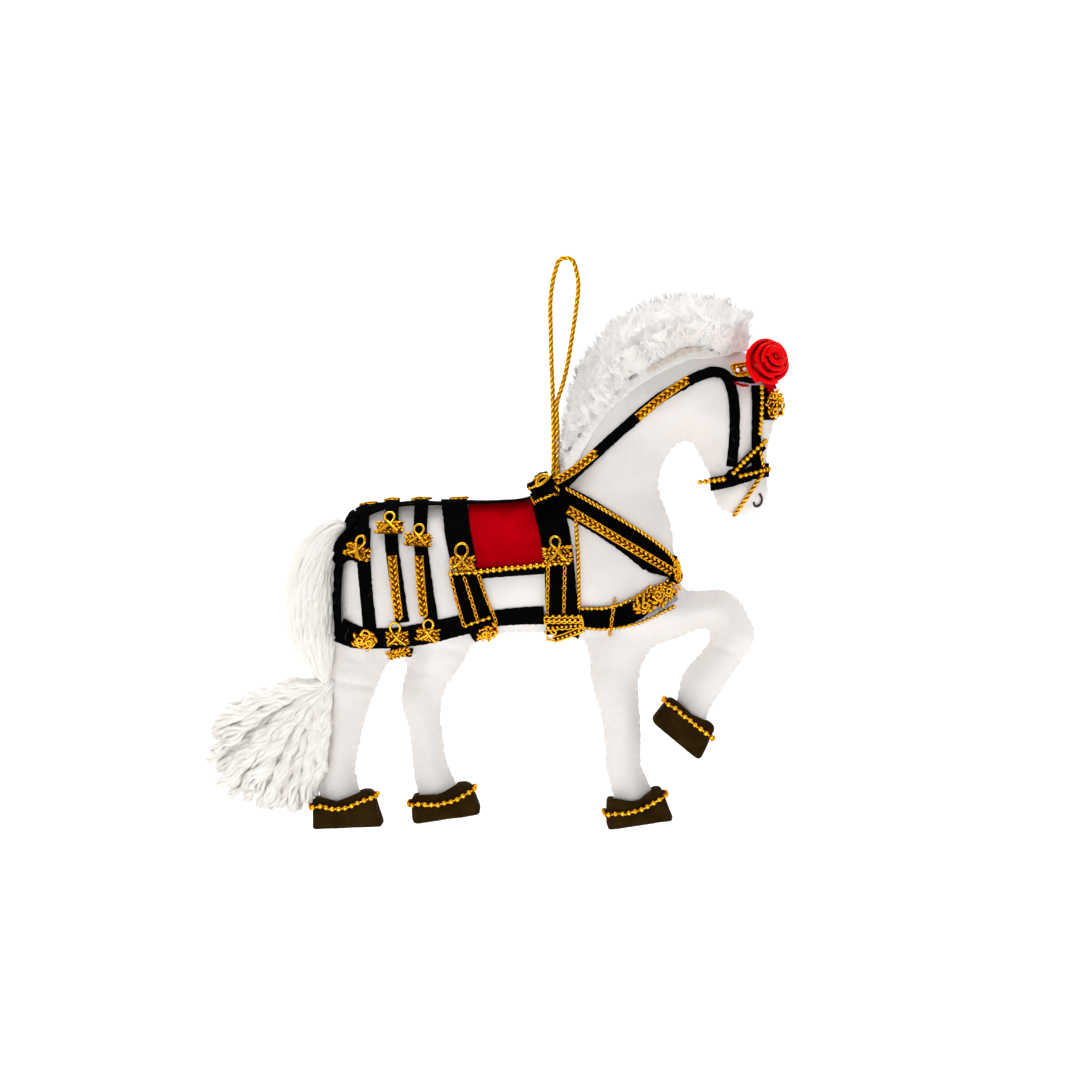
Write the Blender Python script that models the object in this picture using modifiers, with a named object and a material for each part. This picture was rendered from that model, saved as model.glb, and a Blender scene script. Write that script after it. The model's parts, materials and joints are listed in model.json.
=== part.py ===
"""A stuffed parade horse of white velveteen in a black and gold ribbon harness, on a hanging loop.

Frame: metres, +X towards the nose, +Z up, the shown side at -Y. The two sewn layers of the horse
meet in the XZ plane, and the origin is the inside top of the hanging loop.
"""

import math

import bmesh
import bpy
import numpy as np
from mathutils import Matrix, Vector, geometry
from mathutils.bvhtree import BVHTree

# Driving sizes, in metres
HORSE_HEIGHT = 0.1345  # soles of the hooves to the top of the mane
BODY_DEPTH = 0.0195  # stuffed thickness of the trunk
MANE_DEPTH = 0.0175
TAIL_DEPTH = 0.0105
HOOF_DEPTH = 0.0115
STUFFING_REACH = 0.0095  # the skin bulges over this width beside a seam, then stays level
CLEARANCE = 0.0003
RIBBON_THICKNESS = 0.0005
CLOTH_THICKNESS = 0.0006
WIDE_RIBBON = 0.0064
CLOTH_WIDTH = 0.0166
GIRTH_RIBBON = 0.0080
PANEL_RIBBON = 0.0075
BREAST_RIBBON = 0.0060
COLLAR_RIBBON = 0.0050
BREECHING_RIBBON = 0.0050
HIP_RIBBON = 0.0034
NECK_RIBBON = 0.0028
HEAD_RIBBON = 0.0023
EDGE_RIBBON = 0.0025
BROW_RIBBON = 0.0015
BRAID_WIDTH = 0.0018
BEAD_SIZE = 0.0015
BUCKLE_LENGTH = 0.0070
BUCKLE_HEIGHT = 0.0030
BUCKLE_THICKNESS = 0.0009
BUCKLE_RING = 0.0017  # middle radius of the ring that stands on the bar
CORD_DIAMETER = 0.00115
LOOP_RADIUS = 0.0024
KNOT_WIDTH = 0.0080
KNOT_THICKNESS = 0.0022
ROSE_DIAMETER = 0.0112
ROSE_HEIGHT = 0.0048

# Free forms are drawn in units of a 134.5th of the height
UNIT = HORSE_HEIGHT / 134.5
WRAP_RADIUS = 8 * UNIT  # how far inside an edge a ribbon that folds over it turns
RAY_START = 17 * UNIT  # how far out from the seam plane a piece is lowered from
EDGE_STEP = 3.7 * UNIT
RIBBON_STEP = 4.6 * UNIT

COLLECTION = "parade_horse"
CUTTERS = "cutters"


def link(obj, name, helper=False):
    """Put the object in its collection, and only there."""
    for owner in list(obj.users_collection):
        owner.objects.unlink(obj)
    bpy.data.collections[CUTTERS if helper else COLLECTION].objects.link(obj)
    obj.name = name
    obj.data.name = name
    if helper:
        obj.hide_render = True
        obj.display_type = "WIRE"
    return obj


def material(name, colour, roughness, metallic=0.0):
    """One Principled material, made once for each name."""
    made = bpy.data.materials.get(name)
    if made is None:
        made = bpy.data.materials.new(name)
        made.use_nodes = True
        shader = made.node_tree.nodes["Principled BSDF"]
        shader.inputs["Base Color"].default_value = (*colour, 1.0)
        shader.inputs["Roughness"].default_value = roughness
        shader.inputs["Metallic"].default_value = metallic
        made.diffuse_color = (*colour, 1.0)
    return made


def velveteen():
    return material("white_velveteen", (0.83, 0.80, 0.80), 0.9)


def plush():
    return material("white_plush", (0.86, 0.82, 0.78), 1.0)


def yarn():
    return material("white_yarn", (0.87, 0.85, 0.80), 1.0)


def velvet():
    return material("black_velvet", (0.006, 0.005, 0.004), 0.9)


def felt():
    return material("dark_felt", (0.034, 0.019, 0.006), 1.0)


def red_ribbon():
    return material("red_ribbon", (0.58, 0.0, 0.008), 0.7)


def red_resin():
    return material("red_resin", (0.76, 0.003, 0.005), 0.25)


def gold():
    return material("gilt_trim", (0.83, 0.37, 0.02), 0.3, 1.0)


def evaluated_copy(obj, name, helper=False):
    """A plain mesh of the object with its modifiers worked in."""
    bpy.context.view_layer.update()
    graph = bpy.context.evaluated_depsgraph_get()
    mesh = bpy.data.meshes.new_from_object(obj.evaluated_get(graph))
    mesh.transform(obj.matrix_world)
    return link(bpy.data.objects.new(name, mesh), name, helper)


def grown(obj):
    """A cutter: the object with its skin moved out by the clearance."""
    cutter = evaluated_copy(obj, obj.name + "_grown", helper=True)
    swell = cutter.modifiers.new("clearance", "DISPLACE")
    swell.strength = CLEARANCE
    swell.mid_level = 0.0
    return cutter


def apply_all(obj):
    """The object with its modifiers worked into its own mesh."""
    bpy.context.view_layer.update()
    graph = bpy.context.evaluated_depsgraph_get()
    mesh = bpy.data.meshes.new_from_object(obj.evaluated_get(graph))
    old = obj.data
    obj.modifiers.clear()
    obj.data = mesh
    bpy.data.meshes.remove(old)
    mesh.name = obj.name
    return obj


def keep_largest(obj):
    """Drop the crumbs that a cut leaves beside the main body."""
    shape = bmesh.new()
    shape.from_mesh(obj.data)
    left, groups = set(shape.verts), []
    while left:
        group, edge = set(), [left.pop()]
        while edge:
            vertex = edge.pop()
            group.add(vertex)
            near = {e.other_vert(vertex) for e in vertex.link_edges} & left
            left -= near
            edge.extend(near)
        groups.append(group)
    largest = max(groups, key=len)
    crumbs = [v for v in shape.verts if v not in largest]
    bmesh.ops.delete(shape, geom=crumbs, context="VERTS")
    shape.to_mesh(obj.data)
    shape.free()
    return obj


def seat(obj, beneath):
    """Cut the object where it would meet what lies beneath it, with the clearance between."""
    for other in beneath:
        cut = obj.modifiers.new("seat", "BOOLEAN")
        cut.operation = "DIFFERENCE"
        cut.object = grown(other)
    return keep_largest(apply_all(obj))


def smooth_line(points, step, closed=False, measured=2):
    """A smooth curve through the points, sampled evenly by the first measured columns."""
    given = np.array(points, float)
    count = len(given)
    fine = []
    for i in range(count if closed else count - 1):
        picks = [(i + k) % count if closed else min(max(i + k, 0), count - 1) for k in (-1, 0, 1, 2)]
        a, b, c, d = given[picks]
        for t in np.linspace(0, 1, 8, endpoint=False):
            cubic = (-a + 3 * b - 3 * c + d) * t**3
            fine.append(0.5 * (2 * b + (c - a) * t + (2 * a - 5 * b + 4 * c - d) * t**2 + cubic))
    fine.append(given[0] if closed else given[-1])
    fine = np.array(fine)
    lengths = np.linalg.norm(np.diff(fine[:, :measured], axis=0), axis=1)
    along = np.concatenate([[0], np.cumsum(lengths)])
    steps = max(2, round(along[-1] / step))
    at = np.linspace(0, along[-1], steps + 1)
    line = np.stack([np.interp(at, along, fine[:, k]) for k in range(fine.shape[1])], axis=1)
    return line[:-1] if closed else line


def distance_to_line(points, line):
    """How far each point is from a closed line, and whether it is inside."""
    nearest = np.full(len(points), np.inf)
    crossings = np.zeros(len(points), int)
    for a, b in zip(line, np.roll(line, -1, axis=0)):
        run = b - a
        share = np.clip(((points - a) @ run) / (run @ run), 0, 1)
        nearest = np.minimum(nearest, np.linalg.norm(points - a - share[:, None] * run, axis=1))
        spans = (a[1] > points[:, 1]) != (b[1] > points[:, 1])
        with np.errstate(divide="ignore", invalid="ignore"):
            at = a[0] + (points[:, 1] - a[1]) * run[0] / run[1]
        crossings += spans & (points[:, 0] < at)
    return nearest, crossings % 2 == 1


def layer_net(outline, spacing):
    """Points and triangles that fill an outline, with two rings close along its edge."""
    inward = np.roll(outline, 1, axis=0) - np.roll(outline, -1, axis=0)
    inward = np.stack([inward[:, 1], -inward[:, 0]], axis=1)
    inward /= np.linalg.norm(inward, axis=1)[:, None]
    area = np.cross(outline, np.roll(outline, -1, axis=0)).sum()
    inward *= -np.sign(area)
    kept = [*outline]
    for ring, every in ((0.33 * spacing, 1), (spacing, 2)):
        moved = outline[::every] + ring * inward[::every]
        away, inside = distance_to_line(moved, outline)
        for point in moved[inside & (away > 0.8 * ring)]:
            if np.linalg.norm(np.array(kept[len(outline):] or [[9, 9]]) - point, axis=1).min() > ring / 2:
                kept.append(point)
    low, high = outline.min(axis=0), outline.max(axis=0)
    rows = np.arange(low[1], high[1], spacing * math.sqrt(3) / 2)
    for number, z in enumerate(rows):
        xs = np.arange(low[0] + number % 2 * spacing / 2, high[0], spacing)
        row = np.stack([xs, np.full(len(xs), z)], axis=1)
        away, inside = distance_to_line(row, outline)
        kept.extend(row[inside & (away > 1.45 * spacing)])
    edges = [(i, (i + 1) % len(outline)) for i in range(len(outline))]
    while True:
        net = geometry.delaunay_2d_cdt([Vector(p) for p in kept], edges, [], 1, 1e-9)
        points, triangles = np.array([tuple(p) for p in net[0]]), np.array(net[2])
        on_edge = np.array([any(i < len(outline) for i in given) for given in net[3]])
        sides = np.sort(np.concatenate([triangles[:, [0, 1]], triangles[:, [1, 2]], triangles[:, [2, 0]]]))
        pairs, uses = np.unique(sides, axis=0, return_counts=True)
        tied = pairs[(uses == 2) & on_edge[pairs].all(axis=1)]
        if not len(tied):
            return points, triangles, on_edge
        kept.extend(points[tied].mean(axis=1))


def swelling(points, triangles, fixed, reach):
    """Height of a membrane that is held at its edge and pressed from inside, at most 1."""
    stiffness = np.zeros((len(points), len(points)))
    load = np.zeros(len(points))
    for corners in triangles:
        a, b, c = points[corners]
        area = abs(np.cross(b - a, c - a)) / 2
        edges = np.array([c - b, a - c, b - a])
        stiffness[np.ix_(corners, corners)] += edges @ edges.T / (4 * area)
        load[corners] += area / 3
    free = np.flatnonzero(~fixed)
    pull = stiffness[np.ix_(free, free)] + np.diag(load[free]) / reach**2
    height = np.zeros(len(points))
    height[free] = np.sqrt(np.maximum(np.linalg.solve(pull, load[free]), 0))
    return height / height.max()


def stuffed(name, outline, depth, spacing, relief=None):
    """Two layers sewn round an outline and stuffed: a half of the skin, mirrored in the seam plane."""
    edge = smooth_line(np.array(outline, float) * UNIT, min(EDGE_STEP, 0.9 * spacing), closed=True)
    points, triangles, fixed = layer_net(edge, spacing)
    height = swelling(points, triangles, fixed, STUFFING_REACH) * depth / 2
    if relief is not None:
        height *= relief(points[:, 0] / UNIT, points[:, 1] / UNIT)
    shape = bmesh.new()
    vertices = [shape.verts.new((x, -h, z)) for (x, z), h in zip(points, height)]
    for a, b, c in triangles:
        turn = np.cross(points[b] - points[a], points[c] - points[a])
        shape.faces.new([vertices[i] for i in ((a, b, c) if turn > 0 else (a, c, b))])
    mesh = bpy.data.meshes.new(name)
    shape.to_mesh(mesh)
    shape.free()
    obj = link(bpy.data.objects.new(name, mesh), name)
    mirror = obj.modifiers.new("far layer", "MIRROR")
    mirror.use_axis = (False, True, False)
    mirror.merge_threshold = 1e-5
    return obj


class Ground:
    """Everything that is laid so far, for the next piece to lie on."""

    def __init__(self):
        self.points, self.triangles, self.count = [], [], 0
        self.tree = None

    def add(self, *objects):
        """Take in the evaluated skins of these objects."""
        bpy.context.view_layer.update()
        graph = bpy.context.evaluated_depsgraph_get()
        for obj in objects:
            shown = obj.evaluated_get(graph)
            mesh = shown.to_mesh()
            mesh.calc_loop_triangles()
            self.points += [obj.matrix_world @ v.co for v in mesh.vertices]
            self.triangles += [[i + self.count for i in t.vertices] for t in mesh.loop_triangles]
            self.count += len(mesh.vertices)
            shown.to_mesh_clear()
        self.tree = BVHTree.FromPolygons(self.points, self.triangles)

    def height(self, anchor, facing, reach=RAY_START):
        """How far the outermost skin is from the anchor, along the way that a piece faces."""
        way = Vector(facing)
        start = Vector(anchor) + way * reach
        while True:
            place, normal, _, _ = self.tree.ray_cast(start, -way, reach)
            if place is None:
                return 0.4 * UNIT
            if normal.dot(way) > 0:
                return (place - Vector(anchor)).dot(way)
            start = place - way * 1e-6


def side(points, width=1.0):
    """Controls of a ribbon that lies on the shown side: place, tilt, edge direction and width."""
    return [(x, z, 0, 0, width) for x, z in points]


def leaning(points, tilt, out, width=1.0):
    """Controls of a ribbon whose face turns from the viewer towards an edge, by angles in degrees."""
    return [(x, z, tilt, out, width) for x, z in points]


def fold(place, out, width=1.0, tilts=(0, 60, 120, 180)):
    """Controls of a ribbon that folds over the edge near this place."""
    return [(*place, tilt, out, width) for tilt in tilts]


def over(points, out, widths=None):
    """Controls of a ribbon up the shown side, over the edge at the last point and down the far side."""
    widths = widths or [1.0] * len(points)
    near = [(x, z, 0, out, w) for (x, z), w in zip(points, widths)]
    far = [(x, z, 180, out, w) for x, z, _, _, w in reversed(near)]
    return near[:-1] + fold(points[-1], out, widths[-1]) + far[1:]


def around(points, out_first, out_last):
    """Controls of a closed band: along the shown side, and back along the far side."""
    near = [(x, z, 0, out_last if i else out_first, 1.0) for i, (x, z) in enumerate(points)]
    far = [(x, z, 180, out, w) for x, z, _, out, w in reversed(near)]
    first, last = points[0], points[-1]
    ends = fold(last, out_last, tilts=(60, 120)), fold(first, out_first, tilts=(120, 60))
    return near + ends[0] + far + ends[1]


def mirrored(controls):
    """The same ribbon on the far side."""
    return [(x, z, 180 - tilt, out, w) for x, z, tilt, out, w in controls]


def stations(controls, step, closed=False):
    """Anchors in the seam plane, facings, ways across and widths along a ribbon."""
    given = np.array(controls, float)
    route = np.column_stack([given[:, :2] * UNIT, np.radians(given[:, 2]) * WRAP_RADIUS, given[:, 3:]])
    line = smooth_line(route, step, closed, measured=3)
    tilt, out = line[:, 2] / WRAP_RADIUS, np.radians(line[:, 3])
    anchors = np.stack([line[:, 0], 0 * tilt, line[:, 1]], axis=1)
    facing = np.stack([np.sin(tilt) * np.cos(out), -np.cos(tilt), np.sin(tilt) * np.sin(out)], axis=1)
    path = anchors + WRAP_RADIUS * facing
    ahead = np.roll(path, -1, axis=0) - np.roll(path, 1, axis=0) if closed else np.gradient(path, axis=0)
    across = np.cross(facing, ahead)
    across /= np.linalg.norm(across, axis=1)[:, None]
    return anchors, facing, across, line[:, 4]


def interpolated(grid, rows, columns):
    """Values of a grid at fractional rows and columns."""
    i, j = np.minimum(rows.astype(int), len(grid) - 2), np.minimum(columns.astype(int), grid.shape[1] - 2)
    s, t = rows - i, columns - j
    if grid.ndim == 3:
        s, t = s[..., None], t[..., None]
    low = grid[i, j] * (1 - t) + grid[i, j + 1] * t
    return low * (1 - s) + (grid[i + 1, j] * (1 - t) + grid[i + 1, j + 1] * t) * s


def draped_heights(anchor, facing, ground, reach, fine=8):
    """Heights at which a net of quads clears all that lies beneath it."""
    rows, columns = anchor.shape[0] - 1, anchor.shape[1] - 1
    i, j = np.meshgrid(np.arange(rows * fine + 1) / fine, np.arange(columns * fine + 1) / fine, indexing="ij")
    places, ways = interpolated(anchor, i, j), interpolated(facing, i, j)
    ways /= np.linalg.norm(ways, axis=2)[..., None]
    skin = np.array([[ground.height(p, w, reach) for p, w in zip(*row)] for row in zip(places, ways)])
    height = skin[::fine, ::fine] + CLEARANCE
    for share in (0.5, 0.5, 0.5, 1.0, 1.0):
        flat = (interpolated(height[..., None] * facing, i, j) * ways).sum(axis=2)
        missing = skin + CLEARANCE - flat
        lift = np.zeros_like(height)
        for r in range(rows):
            for c in range(columns):
                block = missing[r * fine:(r + 1) * fine + 1, c * fine:(c + 1) * fine + 1].max()
                corner = lift[r:r + 2, c:c + 2]
                np.maximum(corner, block, out=corner)
        height = height + share * np.maximum(lift, 0)
    return height


def strip(name, controls, width, thickness, finish, ground, cells=2, closed=False, step=RIBBON_STEP,
          reach=RAY_START):
    """A flat ribbon laid along its controls over everything that is laid so far."""
    anchors, facing, across, widths = stations(controls, step, closed)
    if closed:
        anchors, facing, across = (np.vstack([a, a[:1]]) for a in (anchors, facing, across))
        widths = np.append(widths, widths[0])
    shares = np.linspace(-0.5, 0.5, cells + 1)
    anchor = anchors[:, None] + across[:, None] * (widths[:, None] * shares)[..., None] * width
    ways = np.repeat(facing[:, None], cells + 1, axis=1)
    height = draped_heights(anchor, ways, ground, reach)
    if closed:
        height[0] = height[-1] = np.maximum(height[0], height[-1])
    places = anchor + ways * height[..., None]
    shape = bmesh.new()
    rows = [[shape.verts.new(p) for p in row] for row in (places[:-1] if closed else places)]
    if closed:
        rows.append(rows[0])
    for low, high in zip(rows, rows[1:]):
        for c in range(cells):
            shape.faces.new((low[c], high[c], high[c + 1], low[c + 1]))
    mesh = bpy.data.meshes.new(name)
    shape.to_mesh(mesh)
    shape.free()
    obj = link(bpy.data.objects.new(name, mesh), name)
    wall = obj.modifiers.new("thickness", "SOLIDIFY")
    wall.thickness = thickness
    wall.offset = 1.0
    mesh.materials.append(finish)
    ground.add(obj)
    return obj


def plate_frame(place, tilt, out, length, height, ground, steepest=0.6):
    """Where a stiff plate comes to lie: its middle, its facing and its two edge directions."""
    tilt, out = math.radians(tilt), math.radians(out)
    facing = np.array([math.sin(tilt) * math.cos(out), -math.cos(tilt), math.sin(tilt) * math.sin(out)])
    up = np.array([0.0, 0.0, 1.0])
    right = np.cross(up, facing)
    right /= -np.linalg.norm(right)
    if right[0] < 0:
        right = -right
    up = up - facing * (up @ facing)
    up /= np.linalg.norm(up)
    anchor = np.array([place[0] * UNIT, 0.0, place[1] * UNIT])
    spots, lifts = [], []
    for u in np.linspace(-length / 2, length / 2, 7):
        for v in np.linspace(-height / 2, height / 2, 5):
            spots.append((1.0, u, v))
            lifts.append(ground.height(anchor + u * right + v * up, facing))
    level, slope_u, slope_v = np.linalg.lstsq(np.array(spots), np.array(lifts), rcond=None)[0]
    slope_u, slope_v = np.clip((slope_u, slope_v), -steepest, steepest)
    level = max(lift - slope_u * u - slope_v * v for (_, u, v), lift in zip(spots, lifts))
    along = right + slope_u * facing
    along /= np.linalg.norm(along)
    rise = up + slope_v * facing
    normal = np.cross(along, rise)
    normal *= np.sign(normal @ facing) / np.linalg.norm(normal)
    return anchor + facing * level + normal * CLEARANCE, normal, along


def block(name, size, bevel):
    """A box with softened edges, its middle at the origin."""
    bpy.ops.mesh.primitive_cube_add(size=1)
    obj = bpy.context.object
    obj.data.transform(Matrix.Diagonal((*size, 1)))
    soft = obj.modifiers.new("softened", "BEVEL")
    soft.width = bevel
    soft.segments = 1
    return link(obj, name)


def placed(obj, middle, normal, along, turn=0.0, thickness=0.0):
    """Stand the object, modelled lying with -Y outwards, on its place."""
    x, y = Vector(along), -Vector(normal)
    z = x.cross(y)
    turned = Matrix((x, y, z)).transposed() @ Matrix.Rotation(math.radians(turn), 3, "Y")
    obj.data.transform(turned.to_4x4())
    obj.data.transform(Matrix.Translation(Vector(middle) + Vector(normal) * thickness / 2))
    return obj


def plate(name, place, finish, ground, size, thickness, tilt=0.0, out=0.0, turn=0.0, ring=0.0):
    """A stiff gilt plate laid on the harness, with a ring standing on its upper edge if given."""
    length, height = size
    reach = height + 2 * ring if ring else height
    middle, normal, along = plate_frame(place, tilt, out, length + BEAD_SIZE, reach + BEAD_SIZE, ground)
    obj = block(name, (length, thickness, height), 0.2 * thickness)
    if ring:
        bpy.ops.mesh.primitive_torus_add(
            major_radius=ring, minor_radius=0.42 * thickness, major_segments=10, minor_segments=5
        )
        loop = bpy.context.object
        loop.data.transform(Matrix.Rotation(math.pi / 2, 4, "X"))
        loop.data.transform(Matrix.Translation((0, 0, height / 2 + 0.75 * ring)))
        link(loop, name + "_ring", helper=True)
        join = obj.modifiers.new("ring", "BOOLEAN")
        join.operation = "UNION"
        join.object = loop
    apply_all(obj)
    placed(obj, middle, normal, along, turn, thickness)
    obj.data.materials.clear()
    obj.data.materials.append(finish)
    ground.add(obj)
    return obj


def hoof(name, corners, body, ground):
    """A felt cup: the outline of a hoof as a block, hollowed for the end of the leg."""
    curve = bpy.data.curves.new(name, "CURVE")
    curve.dimensions = "2D"
    curve.fill_mode = "BOTH"
    curve.extrude = HOOF_DEPTH / 2
    line = curve.splines.new("POLY")
    line.points.add(len(corners) - 1)
    for point, (x, z) in zip(line.points, corners):
        point.co = (x * UNIT, z * UNIT, 0, 1)
    line.use_cyclic_u = True
    flat = link(bpy.data.objects.new(name + "_outline", curve), name + "_outline", helper=True)
    flat.matrix_world = Matrix.Rotation(math.pi / 2, 4, "X")
    obj = evaluated_copy(flat, name)
    bpy.data.objects.remove(flat)
    shape = bmesh.new()
    shape.from_mesh(obj.data)
    bmesh.ops.remove_doubles(shape, verts=shape.verts, dist=1e-6)
    bmesh.ops.recalc_face_normals(shape, faces=shape.faces)
    shape.to_mesh(obj.data)
    shape.free()
    soft = obj.modifiers.new("softened", "BEVEL")
    soft.width = HOOF_DEPTH / 9
    soft.segments = 2
    soft.limit_method = "ANGLE"
    seat(obj, [body])
    obj.data.materials.append(felt())
    ground.add(obj)
    return obj


# The outline of the body, clockwise from the dock, in units
BACK = [(-55, -66.5), (-53.5, -63.25), (-50.5, -61.5), (-45.25, -60.5), (-26.5, -60.25), (-16.5, -60.75),
        (-9, -60), (-5.25, -57.5), (-3, -53)]
CREST = [(-0.5, -46.25), (3.5, -38.75), (9.25, -31.75), (16.5, -26), (24.75, -21.75), (33.5, -20.25),
         (41, -21.5)]
FACE = [(46.5, -23.75), (50.5, -27), (52.75, -32), (53, -37.5), (50.75, -46.75), (50.5, -54.5),
        (51, -58.5), (50.25, -60.75), (48.25, -63.25), (45, -64.5), (41.5, -63.75), (38.25, -62.5),
        (36.75, -60.25), (36, -54.25), (34, -50.75), (31.25, -45)]
THROAT = [(29.25, -45), (27, -47), (24.75, -50.25), (23.5, -53.5), (23.25, -57), (24.5, -60.75),
          (26.25, -64.75), (27.25, -73), (28.5, -80.75), (30, -82.5)]
RAISED_LEG = [(34.75, -82.25), (39, -82), (41.75, -82.75), (44, -85.5), (47.75, -92.75), (47, -96),
              (41.75, -103.75), (36.5, -112), (35.25, -115.5), (33.75, -118.25), (31, -118.75),
              (28, -116.25), (26.5, -113), (27.75, -109.25), (28.25, -105.5), (29.25, -102.75),
              (34.25, -97.25), (36.75, -93), (35.25, -91.75), (32.75, -92.75), (25.5, -95.75), (22, -96.5)]
STANDING_LEG = [(20.25, -98.75), (18.75, -103), (18.25, -108), (19, -119.5), (18.5, -123.75),
                (19.5, -128), (21.75, -131.5), (22, -135), (19.75, -138), (16, -138.75), (12.5, -137),
                (11.5, -134), (9.5, -126.25), (9.5, -121.25), (8, -111.25), (6.25, -106.5), (5.5, -97.5),
                (4.25, -94.5)]
BELLY = [(-0.25, -94), (-9, -93.5), (-17.75, -93.75), (-22.25, -95.25)]
NEAR_HIND_LEG = [(-24.5, -98.75), (-26.5, -102.75), (-29.25, -105.5), (-31.25, -113), (-30, -123),
                 (-28.75, -127.5), (-25.75, -133.25), (-27.5, -136.5), (-32, -137.5), (-36, -136.5),
                 (-37.25, -133.25), (-38.75, -125), (-39.5, -117), (-41.75, -110.25), (-40.25, -103),
                 (-39.75, -100)]
REAR_HIND_LEG = [(-41.75, -98.5), (-43.75, -100), (-46, -104.25), (-49.5, -113), (-51.75, -122.5),
                 (-52.5, -127), (-51, -133), (-51.5, -136.5), (-55.25, -138.25), (-59.5, -137.75),
                 (-61.75, -134.5), (-62.25, -130), (-60, -121.25), (-59.5, -105), (-58.75, -93.75),
                 (-58.75, -81.25), (-58, -76.25), (-56.5, -71.25)]

MANE_TIP = [(-1.2, -54.0), (-0.4, -48.5), (-0.6, -42), (0.4, -34), (3.6, -25.2), (8, -19.5), (11, -15.2),
            (16, -12.9), (21, -10.2), (26, -9), (31, -7.8), (35, -9.4), (39, -8.8), (42.8, -12),
            (47.5, -13.8), (45.6, -17.3), (46.2, -20.4)]
MANE_ROOT = [(43, -27), (38, -29.5), (30, -30), (23.5, -33.5), (17.5, -38), (11, -46.5), (5, -54)]

TAIL_HANK = [(-59.9, -106), (-60.2, -95), (-60.3, -85), (-59.6, -76), (-57, -70.5), (-54.5, -66),
             (-57.8, -65), (-62.8, -67), (-66.5, -72.5), (-68.5, -78.8), (-69.8, -88.5), (-68.3, -97)]
TASSEL = [(-67.6, -102.6), (-71.5, -104.2), (-76.5, -106.5), (-81.5, -110.5), (-87, -113.6),
          (-90, -118.2), (-88.6, -122), (-89.6, -126.5), (-87.4, -130.5), (-86, -134.4), (-80.5, -133.6),
          (-78.6, -136.4), (-73.5, -139), (-70.4, -135.4), (-67.6, -136.8), (-65.6, -132.8), (-62.6, -120),
          (-60.3, -111)]
TAIL_TIE = (-61.0, -106.5)

HOOVES = {
    "hoof_hind_rear": [(-63, -134), (-57, -135), (-50.5, -132.4), (-48.3, -132.5), (-45.5, -141.2),
                       (-63, -142)],
    "hoof_hind_front": [(-38.6, -133.5), (-32, -133.3), (-26.7, -130.6), (-23.8, -130.5), (-21, -138.2),
                        (-38.2, -140.8)],
    "hoof_fore_standing": [(10.2, -134.2), (17.2, -135), (22, -131.8), (23.8, -131.7), (26.7, -139.7),
                           (10.2, -142.2)],
    "hoof_fore_raised": [(26, -108.8), (31.2, -113.2), (37.4, -116.2), (33.2, -125), (21.2, -115.2)],
}
HOOF_CHAINS = {
    "hoof_hind_rear": ([(-60, -135.6), (-57.5, -136.3), (-54.2, -136), (-51.4, -134.8)], 180, 20),
    "hoof_hind_front": ([(-35.6, -135), (-33, -135.3), (-30.5, -135), (-26.8, -133.8)], 180, 30),
    "hoof_fore_standing": ([(13, -137.4), (16.5, -137), (19.2, -136.2), (22, -134.6)], 180, 30),
    "hoof_fore_raised": ([(27.4, -111.8), (30.2, -114.2), (32.5, -116.2), (34, -117.2)], 140, -40),
}


def tail_locks(x, z):
    """Strands of the hank run with it, and those of the tassel fan out from the tie."""
    fan = np.arctan2(z - TAIL_TIE[1], x - TAIL_TIE[0])
    away = np.hypot(x - TAIL_TIE[0], z - TAIL_TIE[1])
    strands = 0.13 * np.cos(18 * fan) * np.clip((away - 6) / 14, 0, 1)
    plies = 0.10 * np.cos(2 * math.pi * (x + 66 - 0.012 * (z + 88) ** 2) / 4.4)
    waist = 1 - 0.42 * np.exp(-((away / 5.5) ** 2))
    return waist * (1 + np.where(z < TAIL_TIE[1] + 2, strands, plies))


def mane_locks(x, z):
    """Tufts that stand out from the crest side by side."""
    along = np.arctan2(z + 52, x - 34)
    return 1 + 0.09 * np.cos(20 * along)


def make_hooves(body, ground):
    """The four hooves, each with a chain of beads round its top."""
    hooves = [hoof(name, corners, body, ground) for name, corners in HOOVES.items()]
    for name, (places, rear, front) in HOOF_CHAINS.items():
        controls = around(places, rear, front)
        strip(name.replace("hoof", "bead_chain"), controls, BEAD_SIZE, BEAD_SIZE, gold(), ground,
              cells=1, closed=True, step=0.6 * RIBBON_STEP, reach=0.4 * RAY_START)
    return hooves


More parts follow.
